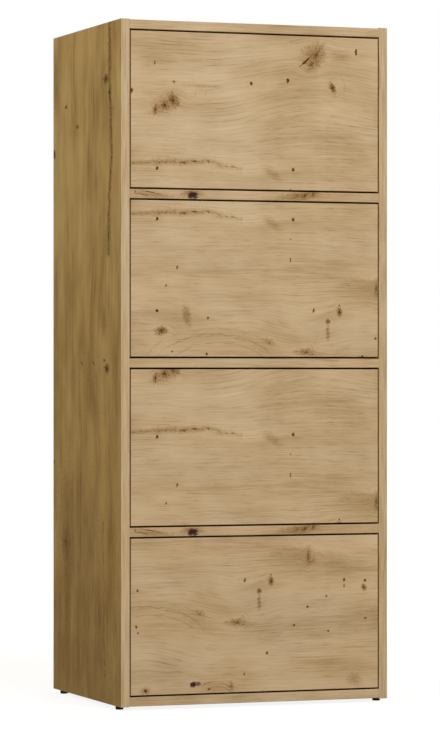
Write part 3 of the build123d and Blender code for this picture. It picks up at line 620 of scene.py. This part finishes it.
def decor_group(name, sheet, weights=FRONT_GRAIN):
    """Printed oak as a node group: colour, roughness and relief at a place on the sheet."""
    inputs = {"Along": "Float", "Across": "Float"}
    outputs = {"Colour": "Color", "Roughness": "Float", "Relief": "Float"}
    tree = group_tree(name, "ShaderNodeTree", inputs, outputs)
    desk = Desk(tree)
    entry = desk.add("NodeGroupInput").outputs
    along, across = entry["Along"], entry["Across"]
    flat = desk.point(X=along, Y=across)

    # Grain lines wave slowly, rise over the swells and pass round the knots
    wave = desk.pattern(flat, WAVES, detail=1.5)
    waved = desk.math("MULTIPLY_ADD", wave, WAVE_HEIGHT, across)
    swollen = swollen_grain(desk, sheet.swells, flat, waved)
    hair_noise = desk.pattern(flat, HAIRS, detail=1.5)
    off_hair = desk.math("ABSOLUTE", desk.centred(hair_noise))
    hairs = desk.fade(off_hair, *HAIR_LEVELS)
    knots, bent = knot_stain(desk, sheet.knots, flat, swollen, hairs)
    grain = desk.point(X=along, Y=bent)
    stain, plum = sheet_stain(desk, sheet, flat, knots, hairs)

    # Year rings, drift, clouds, bands, streaks, fibres and pores along the grain
    late = late_wood(desk, grain, bent)
    drift = desk.pattern(grain, DRIFT, detail=1.0)
    clouds = desk.pattern(grain, CLOUDS)
    bands = desk.pattern(grain, BANDS)
    streak_rate = (1 / weights.streak_length, 1 / weights.streak_width)
    streaks = desk.pattern(grain, streak_rate, detail=3.0, roughness=0.6)
    fibres = desk.pattern(grain, FIBRES, roughness=0.6)
    pores = desk.fade(desk.pattern(grain, PORES, detail=1.0), *PORE_LEVELS)
    tone = weights.ground
    for pattern, weight in zip((drift, clouds, bands, streaks, fibres), weights):
        tone = desk.math("MULTIPLY_ADD", desk.centred(pattern), weight, tone)
    tone = desk.math("MULTIPLY_ADD", late, -weights.rings, tone)
    tone = desk.math("MULTIPLY_ADD", pores, -weights.pores, tone, clamp=True)

    colour = desk.ramp(tone, (0.0, OAK_DARK), (0.5, OAK_MIDDLE), (1.0, OAK_LIGHT))
    hue = desk.pattern(flat, HUES, detail=1.0)
    tint = desk.mix(desk.fade(hue, *HUE_LEVELS), OAK_GOLD, OAK_PALE)
    colour = desk.mix(1.0, colour, tint, blend="MULTIPLY")
    colour = stained(desk, colour, stain, weights.heart)
    colour = stained(desk, colour, plum, PLUM_HEART)
    ridges = desk.math("MULTIPLY", streaks, STREAK_RELIEF)
    relief = desk.math("MULTIPLY_ADD", pores, PORE_RELIEF, ridges)
    roughness = desk.spread(streaks, *DECOR_ROUGHNESS)
    desk.add("NodeGroupOutput", {"Colour": colour, "Roughness": roughness, "Relief": relief})
    return tree


SQUARE_ON = 0.7  # least share of a surface's direction that counts as facing that way
INNER_SHIFT = 2.9  # along the side sheet to where the inner faces are cut from
EDGE_SHIFT = 7.1  # along the sheet that the side panels' edge bands are cut from
DECOR_SPECULAR = 0.03
RAW_ROUGHNESS = 0.85  # of bare chipboard
FLAKES = (420, 420, 160)  # of chipboard in a metre along X, Y and Z
FIBRE_RATE, FIBRE_CLOUDS = 900, 30  # of the pressed back in a metre
FIBRE_ROUGHNESS = (0.55, 0.8)
FIBRE_SHARE = 0.7  # of its colour, the rest being clouds
FINE_SHARE = 0.4  # of a plain finish's colour, the rest being broad
BROADER = 12  # times as wide as the fine noise


def new_material(name):
    """A material with nothing but its shader, and the desk to fill it."""
    material = bpy.data.materials.new(name)
    desk = empty_desk(material)
    shader = desk.add("ShaderNodeBsdfPrincipled")
    desk.add("ShaderNodeOutputMaterial", {"Surface": shader.outputs[0]})
    return material, desk, shader


def board_place(desk):
    """Place on a board, whole and split into X, Y and Z, and the direction that it faces there."""
    source = desk.add("ShaderNodeTexCoord").outputs
    return source["Object"], desk.split(source["Object"]), desk.split(source["Normal"])


def chipboard(desk, spot):
    """Raw chipboard core: pressed flakes of several browns."""
    flake_place = desk.stretch(spot, *FLAKES)
    cells = desk.add("ShaderNodeTexVoronoi", {"Vector": flake_place, "Scale": 1.0})
    flake = desk.add("ShaderNodeSeparateColor", {0: cells.outputs["Color"]}).outputs[0]
    brown = desk.ramp(
        flake, (0.0, srgb(122, 92, 58)), (0.45, srgb(176, 142, 98)), (1.0, srgb(211, 184, 142))
    )
    return brown, flake


def oak_board(name, group, lengthways, offset, raw_edge=None, edge_group=None, inward=0):
    """Decor on a board. The sheet runs along X or Z, folds over the long edges, and the short
    edges have bands of their own. raw_edge names the direction of an edge left uncovered and
    edge_group is another sheet for the front edge. inward is the X direction of a side panel's
    inner face, which is cut from another part of its deeper coloured sheet; with inward set, both
    faces of the side panel also get a yellower tint of painted shade."""
    material, desk, shader = new_material(name)
    spot, place, facing = board_place(desk)
    if lengthways == "X":
        run, folds, end_run, end_fold = "X", ("Y", "Z"), "Z", "Y"
    else:
        run, folds, end_run, end_fold = "Z", ("X", "Y"), "Y", "X"
    at_end = desk.math("GREATER_THAN", desk.math("ABSOLUTE", facing[run]), SQUARE_ON)
    folded = desk.math("ADD", place[folds[0]], place[folds[1]])
    along = desk.math("ADD", desk.choose(at_end, place[run], place[end_run]), offset[0])
    across = desk.math("ADD", desk.choose(at_end, folded, place[end_fold]), offset[1])
    if inward:
        inner = desk.math("GREATER_THAN", desk.math("MULTIPLY", facing["X"], inward), SQUARE_ON)
        along = desk.math("MULTIPLY_ADD", inner, INNER_SHIFT, along)
    colour, roughness, relief = desk.decor(group, along, across)
    if inward:
        # Painted shade: both faces of a side panel take a yellower tint, the warm cast of the side in shade
        shade_tinted_face = desk.math("GREATER_THAN", desk.math("ABSOLUTE", facing["X"]), SQUARE_ON)
        colour = desk.mix(shade_tinted_face, colour, SIDE_SHADE_TINT, blend="MULTIPLY")
    if edge_group:
        on_edge = desk.math("LESS_THAN", facing["Y"], -SQUARE_ON)
        band = desk.decor(edge_group, desk.math("ADD", along, EDGE_SHIFT), across)
        colour = desk.mix(on_edge, colour, band["Colour"])
    if raw_edge:
        bare = desk.math("GREATER_THAN", facing[raw_edge], SQUARE_ON)
        flakes, height = chipboard(desk, spot)
        colour = desk.mix(bare, colour, flakes)
        relief = desk.choose(bare, relief, height)
        roughness = desk.choose(bare, roughness, RAW_ROUGHNESS)
    desk.feed(shader.inputs["Base Color"], colour)
    desk.feed(shader.inputs["Roughness"], roughness)
    desk.feed(shader.inputs["Normal"], desk.bump(relief, strength=0.35, depth=0.4 * MM))
    shader.inputs["Specular IOR Level"].default_value = DECOR_SPECULAR
    return material


def plain_finish(name, dark, light, roughness, grain, relief, metallic=0.0, specular=0.5, streak=(1, 1, 1)):
    """Metal, plastic or plain wood whose colour, gloss and surface vary a little with a fine
    noise. grain is its rate in a metre, and streak draws it out along an axis."""
    material, desk, shader = new_material(name)
    spot = desk.add("ShaderNodeTexCoord").outputs["Object"]
    drawn = desk.stretch(spot, *(grain * share for share in streak))
    fine = desk.noise(drawn, detail=3.0)
    broad = desk.noise(spot, scale=grain / BROADER)
    both = desk.blend(broad, fine, FINE_SHARE)
    desk.feed(shader.inputs["Base Color"], desk.ramp(both, (0.3, dark), (0.7, light)))
    desk.feed(shader.inputs["Roughness"], desk.spread(both, *roughness))
    desk.feed(shader.inputs["Normal"], desk.bump(fine, strength=relief, depth=0.05 * MM))
    shader.inputs["Metallic"].default_value = metallic
    shader.inputs["Specular IOR Level"].default_value = specular
    return material


def hardboard(name, group):
    """Thin back: oak print towards the inside, pressed brown fibre towards the wall."""
    material, desk, shader = new_material(name)
    spot, place, facing = board_place(desk)
    inside = desk.math("LESS_THAN", facing["Y"], -SQUARE_ON)
    print_colour, print_roughness, _ = desk.decor(group, place["Z"], place["X"])
    fibre = desk.noise(spot, scale=FIBRE_RATE, detail=4.0, roughness=0.7)
    cloud = desk.noise(spot, scale=FIBRE_CLOUDS, detail=4.0)
    both = desk.blend(cloud, fibre, FIBRE_SHARE)
    brown = desk.ramp(
        both, (0.32, srgb(112, 80, 50)), (0.5, srgb(141, 104, 68)), (0.68, srgb(164, 126, 86))
    )
    roughness = desk.choose(inside, desk.spread(fibre, *FIBRE_ROUGHNESS), print_roughness)
    desk.feed(shader.inputs["Base Color"], desk.mix(inside, brown, print_colour))
    desk.feed(shader.inputs["Roughness"], roughness)
    desk.feed(shader.inputs["Normal"], desk.bump(fibre, strength=0.3, depth=0.15 * MM))
    return material


def dress(node, material):
    """Gives a CAD node one material in every slot."""
    mesh = nodes[node].data
    mesh.materials.clear()
    mesh.materials.append(material)


side_decor = decor_group("oak_side_sheet", SIDE_SHEET, SIDE_GRAIN)
level_decor = decor_group("oak_level_sheet", LEVEL_SHEET)
# The right edge band is the darker copy, which is painted shade.
edge_decor = {
    "left": decor_group("oak_left_edge_band", BARE_SHEET, EDGE_GRAIN),
    "right": decor_group("oak_right_edge_band", BARE_SHEET, SHADED_EDGE_GRAIN),
}

# Where each flap was cut from the front sheet: the level of the sheet's long crack on the
# cabinet, and how far along the sheet the flap lies
CRACK_LEVEL = {1: 0.942, 2: 0.854, 3: 0.475, 4: 0.380}
SHEET_SHIFT = {1: 0.0, 2: 0.0, 3: 0.0, 4: 0.130}
# Where the other boards begin on their sheets
SIDE_START = -0.002
LEVEL_SHIFT = {"divider_1": 0.0, "divider_2": 0.9, "divider_3": 0.0, "top_panel": 1.7, "bottom_panel": 2.6}
SHELF_SHIFT = {1: 4.1, 2: 4.8, 3: 5.5, 4: 6.2}

for number in FLAPS:
    low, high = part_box(f"flap_{number}_board")
    shift, level = SHEET_SHIFT[number], CRACK_LEVEL[number]
    piece = cut_sheet(FRONT_SHEET, (low.x + shift, low.z - level), (high.x + shift, high.z - level))
    decor = decor_group(f"oak_front_{number}", piece)
    cut = (shift, -level - low.y)
    dress(f"flap_{number}_board", oak_board(f"oak_flap_{number}", decor, "X", cut))

for side in ("left", "right"):
    low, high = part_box(f"{side}_side_panel")
    outer, inward = (low.x, 1) if side == "left" else (high.x, -1)
    cut = (SIDE_START, -outer)
    finish = oak_board(f"oak_{side}_side", side_decor, "Z", cut, "Y", edge_decor[side], inward)
    dress(f"{side}_side_panel", finish)

for board, shift in LEVEL_SHIFT.items():
    low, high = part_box(board)
    middle = (low.z + high.z) / 2
    dress(board, oak_board(f"oak_{board}", level_decor, "X", (shift, -low.y - middle), "Y"))
for number in FLAPS:
    board = f"shoe_shelf_{number}"
    low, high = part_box(board)
    cut = (SHELF_SHIFT[number], -low.y - low.z)
    dress(board, oak_board(f"oak_{board}", level_decor, "X", cut, "Y"))

dress("back_panel", hardboard("back_hardboard", level_decor))

steel = plain_finish(
    "stay_steel", srgb(178, 180, 182), srgb(206, 208, 210),
    roughness=(0.24, 0.42), grain=900, relief=0.12, metallic=1.0, streak=(1, 1, 0.1),
)
zinc = plain_finish(
    "cast_zinc", srgb(160, 163, 166), srgb(190, 192, 194),
    roughness=(0.38, 0.58), grain=700, relief=0.3, metallic=1.0,
)
black_plastic = plain_finish(
    "black_plastic", srgb(8, 8, 9), srgb(15, 15, 16),
    roughness=(0.55, 0.7), grain=1400, relief=0.3, specular=0.15,
)
grey_plastic = plain_finish(
    "grey_plastic", srgb(126, 128, 130), srgb(142, 144, 146),
    roughness=(0.4, 0.55), grain=1400, relief=0.25,
)
dark_nylon = plain_finish(
    "dark_nylon", srgb(34, 24, 16), srgb(46, 34, 24),
    roughness=(0.42, 0.6), grain=1100, relief=0.2,
)
dark_steel = plain_finish(
    "dark_steel", srgb(52, 50, 48), srgb(70, 68, 66),
    roughness=(0.35, 0.5), grain=900, relief=0.15, metallic=1.0,
)
white_nylon = plain_finish(
    "white_nylon", srgb(222, 220, 212), srgb(235, 233, 226),
    roughness=(0.35, 0.5), grain=1100, relief=0.2,
)
beech = plain_finish(
    "beech_dowel", srgb(196, 160, 116), srgb(220, 186, 142),
    roughness=(0.6, 0.75), grain=500, relief=0.4, streak=(0.1, 1, 1),
)

dress("floor_glides", black_plastic)
dress("cam_locks", zinc)
dress("cam_bolts", steel)
dress("wood_dowels", beech)
dress("shelf_supports", zinc)
dress("pivot_bushes", dark_nylon)
dress("stay_studs", steel)
dress("wall_brackets", steel)
for number in FLAPS:
    dress(f"latch_housing_{number}", grey_plastic)
    dress(f"latch_plunger_{number}", white_nylon)
    dress(f"flap_{number}_hinge_pins", dark_steel)
    for piece in ("stay_brackets", "strike_plate", "left_stay_arm", "right_stay_arm"):
        dress(f"flap_{number}_{piece}", steel)


# Nails, screws and rivets, turned from their sizes in millimetres and set on the places of the
# CAD ones
NAIL = {"Head Diameter": 3.2, "Head Height": 0.8, "Shank Diameter": 1.4, "Shank Length": 20.0}
SCREW = {"Head Diameter": 6.6, "Head Height": 2.2, "Shank Diameter": 3.2, "Shank Length": 13.0}
SUNK_SCREW = {**SCREW, "Head Height": 1.7}
RIVET = {"Head Diameter": 8.5, "Head Height": 1.2, "Shank Diameter": 5.0, "Shank Length": 4.4}
CROSS_LENGTH, CROSS_WIDTH = 3.6, 0.8
CROSS_DEPTHS = (1.0, 0.9)  # of the two bars, unlike so that their floors don't meet
WELD = 0.001  # distance within which corners become one
TURN_STEPS = 20  # round a turned solid
DOME_STEPS = 5  # from the rim of a head to its top
SHARP_EDGE = 35  # degrees from which an edge stays sharp
SCREW_STRETCH = 1.2  # a solid longer to the back than this share of its height is a screw
Place = namedtuple("Place", "spot axis")


def solid_boxes(node):
    """Lowest and highest corner of each separate solid of a CAD node."""
    shell = bmesh.new()
    shell.from_mesh(nodes[node].data)
    bmesh.ops.remove_doubles(shell, verts=shell.verts, dist=WELD * MM)
    boxes, met = [], set()
    for start in shell.verts:
        if start in met:
            continue
        met.add(start)
        solid = [start]
        for corner in solid:
            for beside in (edge.other_vert(corner) for edge in corner.link_edges):
                if beside not in met:
                    met.add(beside)
                    solid.append(beside)
        columns = list(zip(*(corner.co for corner in solid)))
        boxes.append((Vector(map(min, columns)), Vector(map(max, columns))))
    shell.free()
    return boxes


def seat(box, sizes, outward):
    """Where the underside of a head lies, for a head that ends at the outer end of its box."""
    low, high = box
    middle = (low + high) / 2
    reach = (high - low) / 2
    tip = middle + Vector(side * size for side, size in zip(outward, reach))
    return Place(tip - Vector(outward) * sizes["Head Height"] * MM, outward)


def turned(desk, profile):
    """Closed solid turned about Z from pairs of radius and height, the lower pole first."""
    columns = TURN_STEPS + 1
    counts = {"Vertices X": len(profile), "Vertices Y": columns}
    grid = desk.add("GeometryNodeMeshGrid", counts).outputs["Mesh"]
    index = desk.add("GeometryNodeInputIndex").outputs[0]
    row = desk.math("FLOOR", desk.math("DIVIDE", desk.math("ADD", index, 0.5), columns))
    column = desk.math("MULTIPLY_ADD", row, -columns, index)
    ring = desk.add("GeometryNodeIndexSwitch", data_type="VECTOR")
    while len(ring.index_switch_items) < len(profile):
        ring.index_switch_items.new()
    desk.feed(ring.inputs["Index"], row)
    for number, (radius, height) in enumerate(profile):
        desk.feed(ring.inputs[number + 1], desk.point(X=radius, Z=height))
    turn = {"Vector": ring.outputs[0], "Angle": desk.math("MULTIPLY", column, -tau / TURN_STEPS)}
    spot = desk.add("ShaderNodeVectorRotate", turn, rotation_type="Z_AXIS").outputs[0]
    shell = desk.add("GeometryNodeSetPosition", {"Geometry": grid, "Position": spot}).outputs[0]
    return desk.add("GeometryNodeMergeByDistance", {"Geometry": shell, "Distance": WELD}).outputs[0]


def dome(desk, size):
    """Profile of a round head, from its rim to its top."""
    radius = desk.math("MULTIPLY", size["Head Diameter"], 0.5)
    profile = []
    for step in range(DOME_STEPS + 1):
        lift = radians(90) * step / DOME_STEPS
        height = desk.math("MULTIPLY", size["Head Height"], sin(lift))
        profile.append((desk.math("MULTIPLY", radius, cos(lift)), height))
    return profile


def cross_cut(desk, solid, top):
    """Cross recess in the top of a head, cut by two bars that stand half in it."""
    node = desk.add("GeometryNodeMeshBoolean", {"Mesh 1": solid}, operation="DIFFERENCE", solver="EXACT")
    sides = ((CROSS_LENGTH, CROSS_WIDTH), (CROSS_WIDTH, CROSS_LENGTH))
    for side, depth in zip(sides, CROSS_DEPTHS):
        bar = desk.add("GeometryNodeMeshCube", {"Size": (*side, 2 * depth)}).outputs["Mesh"]
        lift = {"Geometry": bar, "Translation": desk.point(Z=top)}
        desk.feed(node.inputs[1], desk.add("GeometryNodeTransform", lift).outputs[0])
    return node.outputs["Mesh"]


def nail_shape(desk, size):
    """Shank below a round head."""
    rod = desk.math("MULTIPLY", size["Shank Diameter"], 0.5)
    tip = desk.math("MULTIPLY", size["Shank Length"], -1.0)
    return turned(desk, [(0.0, tip), (rod, tip), (rod, 0.0), *dome(desk, size)])


def screw_shape(desk, size):
    """Shank below a round head with a cross recess."""
    return cross_cut(desk, nail_shape(desk, size), size["Head Height"])


def sunk_screw_shape(desk, size):
    """Flat head with a cross recess that tapers into the shank."""
    rim = desk.math("MULTIPLY", size["Head Diameter"], 0.5)
    rod = desk.math("MULTIPLY", size["Shank Diameter"], 0.5)
    top = size["Head Height"]
    tip = desk.math("SUBTRACT", top, size["Shank Length"])
    return cross_cut(desk, turned(desk, [(0.0, tip), (rod, tip), (rod, 0.0), (rim, top), (0.0, top)]), top)


def rivet_shape(desk, size):
    """Shank with a round head at both ends."""
    rod = desk.math("MULTIPLY", size["Shank Diameter"], 0.5)
    foot = desk.math("MULTIPLY", size["Shank Length"], -1.0)
    head = dome(desk, size)
    far_head = [(radius, desk.math("SUBTRACT", foot, height)) for radius, height in reversed(head)]
    return turned(desk, [*far_head, (rod, foot), (rod, 0.0), *head])


def fastener_tree(name, shape, sizes, finish):
    """Geometry nodes that set one turned shape on every place, pointing along the place's axis."""
    inputs = {"Places": "Geometry", **dict.fromkeys(sizes, "Float")}
    tree = group_tree(name, "GeometryNodeTree", inputs, {"Fasteners": "Geometry"})
    desk = Desk(tree)
    entry = desk.add("NodeGroupInput").outputs
    solid = shape(desk, entry)
    axis_name = {"Name": "axis"}
    axis = desk.add("GeometryNodeInputNamedAttribute", axis_name, data_type="FLOAT_VECTOR").outputs[0]
    turn = desk.add("FunctionNodeAlignRotationToVector", {"Vector": axis}, axis="Z").outputs[0]
    values = {"Points": entry["Places"], "Instance": solid, "Rotation": turn, "Scale": (MM, MM, MM)}
    copies = desk.add("GeometryNodeInstanceOnPoints", values).outputs[0]
    whole = desk.add("GeometryNodeRealizeInstances", {"Geometry": copies}).outputs[0]
    bend = desk.add("GeometryNodeInputMeshEdgeAngle").outputs[0]
    sharp = desk.math("GREATER_THAN", bend, radians(SHARP_EDGE))
    smooth = desk.add("GeometryNodeSetShadeSmooth", {"Geometry": whole, "Shade Smooth": True}).outputs[0]
    creased = {"Geometry": smooth, "Selection": sharp, "Shade Smooth": False}
    smooth = desk.add("GeometryNodeSetShadeSmooth", creased, domain="EDGE").outputs[0]
    dressed = desk.add("GeometryNodeSetMaterial", {"Geometry": smooth, "Material": finish}).outputs[0]
    desk.add("NodeGroupOutput", {"Fasteners": dressed})
    return tree


def set_fasteners(name, places, tree, sizes):
    """Mesh of one kind of fastener at all its places."""
    mesh = bpy.data.meshes.new(name)
    mesh.from_pydata([place.spot for place in places], [], [])
    axes = mesh.attributes.new("axis", "FLOAT_VECTOR", "POINT")
    for entry, place in zip(axes.data, places):
        entry.vector = place.axis
    piece = bpy.data.objects.new(name, mesh)
    bpy.context.scene.collection.objects.link(piece)
    modifier = piece.modifiers.new("fasteners", "NODES")
    modifier.node_group = tree
    for socket in tree.interface.items_tree:
        if socket.name in sizes:
            modifier[socket.identifier] = sizes[socket.name]
    graph = bpy.context.evaluated_depsgraph_get()
    made = bpy.data.meshes.new_from_object(piece.evaluated_get(graph))
    piece.modifiers.clear()
    piece.data = made
    return piece


def joined(first, second):
    """Two meshes of one body made a single piece."""
    with bpy.context.temp_override(active_object=first, selected_editable_objects=[first, second]):
        bpy.ops.object.join()
    return first


def stand_for(piece, body, node):
    """Puts a turned piece on its body in place of the CAD node's plain solids."""
    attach(piece, body)
    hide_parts(node)


BACKWARD, DOWNWARD, SIDEWAYS = (0, 1, 0), (0, 0, -1), (1, 0, 0)
nail_tree = fastener_tree("turned_nail", nail_shape, NAIL, steel)
screw_tree = fastener_tree("turned_screw", screw_shape, SCREW, steel)
sunk_tree = fastener_tree("turned_sunk_screw", sunk_screw_shape, SUNK_SCREW, steel)
rivet_tree = fastener_tree("turned_rivet", rivet_shape, RIVET, steel)

nails = [seat(box, NAIL, BACKWARD) for box in solid_boxes("back_nails")]
stand_for(set_fasteners("domed_back_nails", nails, nail_tree, NAIL), "carcass", "back_nails")
screws = [seat(box, SCREW, DOWNWARD) for box in solid_boxes("carcass_screws")]
stand_for(set_fasteners("round_carcass_screws", screws, screw_tree, SCREW), "carcass", "carcass_screws")
for number in FLAPS:
    sunk, rivets = [], []
    for box in solid_boxes(f"flap_{number}_fasteners"):
        extent = box[1] - box[0]
        if extent.y > SCREW_STRETCH * extent.z:
            sunk.append(seat(box, SUNK_SCREW, BACKWARD))
        else:
            rivets.append(seat(box, RIVET, SIDEWAYS))
    screw_piece = set_fasteners(f"flap_{number}_sunk_screws", sunk, sunk_tree, SUNK_SCREW)
    rivet_piece = set_fasteners(f"flap_{number}_rivets", rivets, rivet_tree, RIVET)
    stand_for(joined(screw_piece, rivet_piece), f"flap_{number}", f"flap_{number}_fasteners")


FLOOR_RADIUS = 30
FLOOR_CORNERS = 96
SHADOW_REACH = (0.7, 2.2)  # from the middle of the cabinet to where the floor is all white
SHADED_GLOW = 0.88  # of the floor nearest to the cabinet
FLOOR_PAINT = srgb(110, 111, 112)  # where the camera sees it
BOUNCE_PAINT = srgb(132, 106, 40)  # for the light that it throws up
WHITE = (1, 1, 1, 1)
SOFT_LIGHT = srgb(255, 240, 208)
SOFT_STRENGTH = 0.36
CAMERA_PLACE = (-2.15337, -5.87335, 0.58823)
CAMERA_TURN = 20.172  # degrees to the right
CAMERA_LENS = 167.5
SENSOR_WIDTH = 36.0


def seen_share(desk):
    """1 for what the camera sees, straight or by a gloss, and 0 for light that only bounces."""
    rays = desk.add("ShaderNodeLightPath").outputs
    seen = desk.math("MAXIMUM", rays["Is Camera Ray"], rays["Is Glossy Ray"])
    return desk.math("MAXIMUM", seen, rays["Is Transmission Ray"])


def make_floor():
    """Pale floor: white to the camera away from the cabinet, with the cabinet's soft shadow near it."""
    bpy.ops.mesh.primitive_circle_add(vertices=FLOOR_CORNERS, radius=FLOOR_RADIUS, fill_type="NGON")
    floor = bpy.context.object
    floor.name = "studio_floor"
    material = bpy.data.materials.new("pale_floor")
    desk = empty_desk(material)
    distance = desk.length(desk.add("ShaderNodeTexCoord").outputs["Object"])
    seen = seen_share(desk)
    glow = desk.math("MULTIPLY", seen, desk.fade(distance, *SHADOW_REACH, SHADED_GLOW, 1.0))
    white = desk.add("ShaderNodeEmission", {"Color": WHITE, "Strength": glow}).outputs[0]
    paint = desk.mix(seen, BOUNCE_PAINT, FLOOR_PAINT)
    bounce = desk.add("ShaderNodeBsdfDiffuse", {"Color": paint}).outputs[0]
    both = desk.add("ShaderNodeAddShader", {0: white, 1: bounce}).outputs[0]
    desk.add("ShaderNodeOutputMaterial", {"Surface": both})
    floor.data.materials.append(material)


def make_world():
    """White to the camera, soft and a little warm for everything else."""
    world = bpy.data.worlds.new("studio")
    bpy.context.scene.world = world
    desk = empty_desk(world)
    seen = seen_share(desk)
    white = desk.add("ShaderNodeBackground", {"Color": WHITE, "Strength": 1.0}).outputs[0]
    soft = desk.add("ShaderNodeBackground", {"Color": SOFT_LIGHT, "Strength": SOFT_STRENGTH}).outputs[0]
    both = desk.add("ShaderNodeMixShader", {0: seen, 1: soft, 2: white}).outputs[0]
    desk.add("ShaderNodeOutputWorld", {"Surface": both})


def make_lamp(name, place, aim, size, power, colour):
    """Round lamp at a place, turned towards its aim."""
    lamp = bpy.data.lights.new(name, "AREA")
    lamp.shape = "DISK"
    lamp.size = size
    lamp.energy = power
    lamp.color = colour
    holder = bpy.data.objects.new(name, lamp)
    bpy.context.scene.collection.objects.link(holder)
    holder.location = place
    holder.rotation_euler = (Vector(aim) - Vector(place)).to_track_quat("-Z", "Y").to_euler()


def make_camera():
    """Level camera a little to the left, at half the cabinet's height."""
    camera = bpy.data.cameras.new("photo_camera")
    camera.sensor_width = SENSOR_WIDTH
    camera.lens = CAMERA_LENS
    holder = bpy.data.objects.new("photo_camera", camera)
    bpy.context.scene.collection.objects.link(holder)
    holder.location = CAMERA_PLACE
    holder.rotation_euler = (radians(90), 0, radians(-CAMERA_TURN))
    bpy.context.scene.camera = holder


make_floor()
make_world()
make_lamp("front_lamp", (0.9, -4.8, 2.9), (0, 0, 0.65), size=2.6, power=237, colour=(0.958, 0.985, 1.03))
make_lamp("left_lamp", (-2.3, -0.15, 2.8), (-0.25, 0, 1.05), size=1.2, power=33, colour=(1.0, 0.88, 0.60))
make_lamp("rear_lamp", (1.8, 4.2, 3.2), (0, 0, 0.6), size=2.6, power=90, colour=(1.0, 0.98, 0.95))
make_camera()
bpy.context.scene.view_settings.view_transform = "Standard"
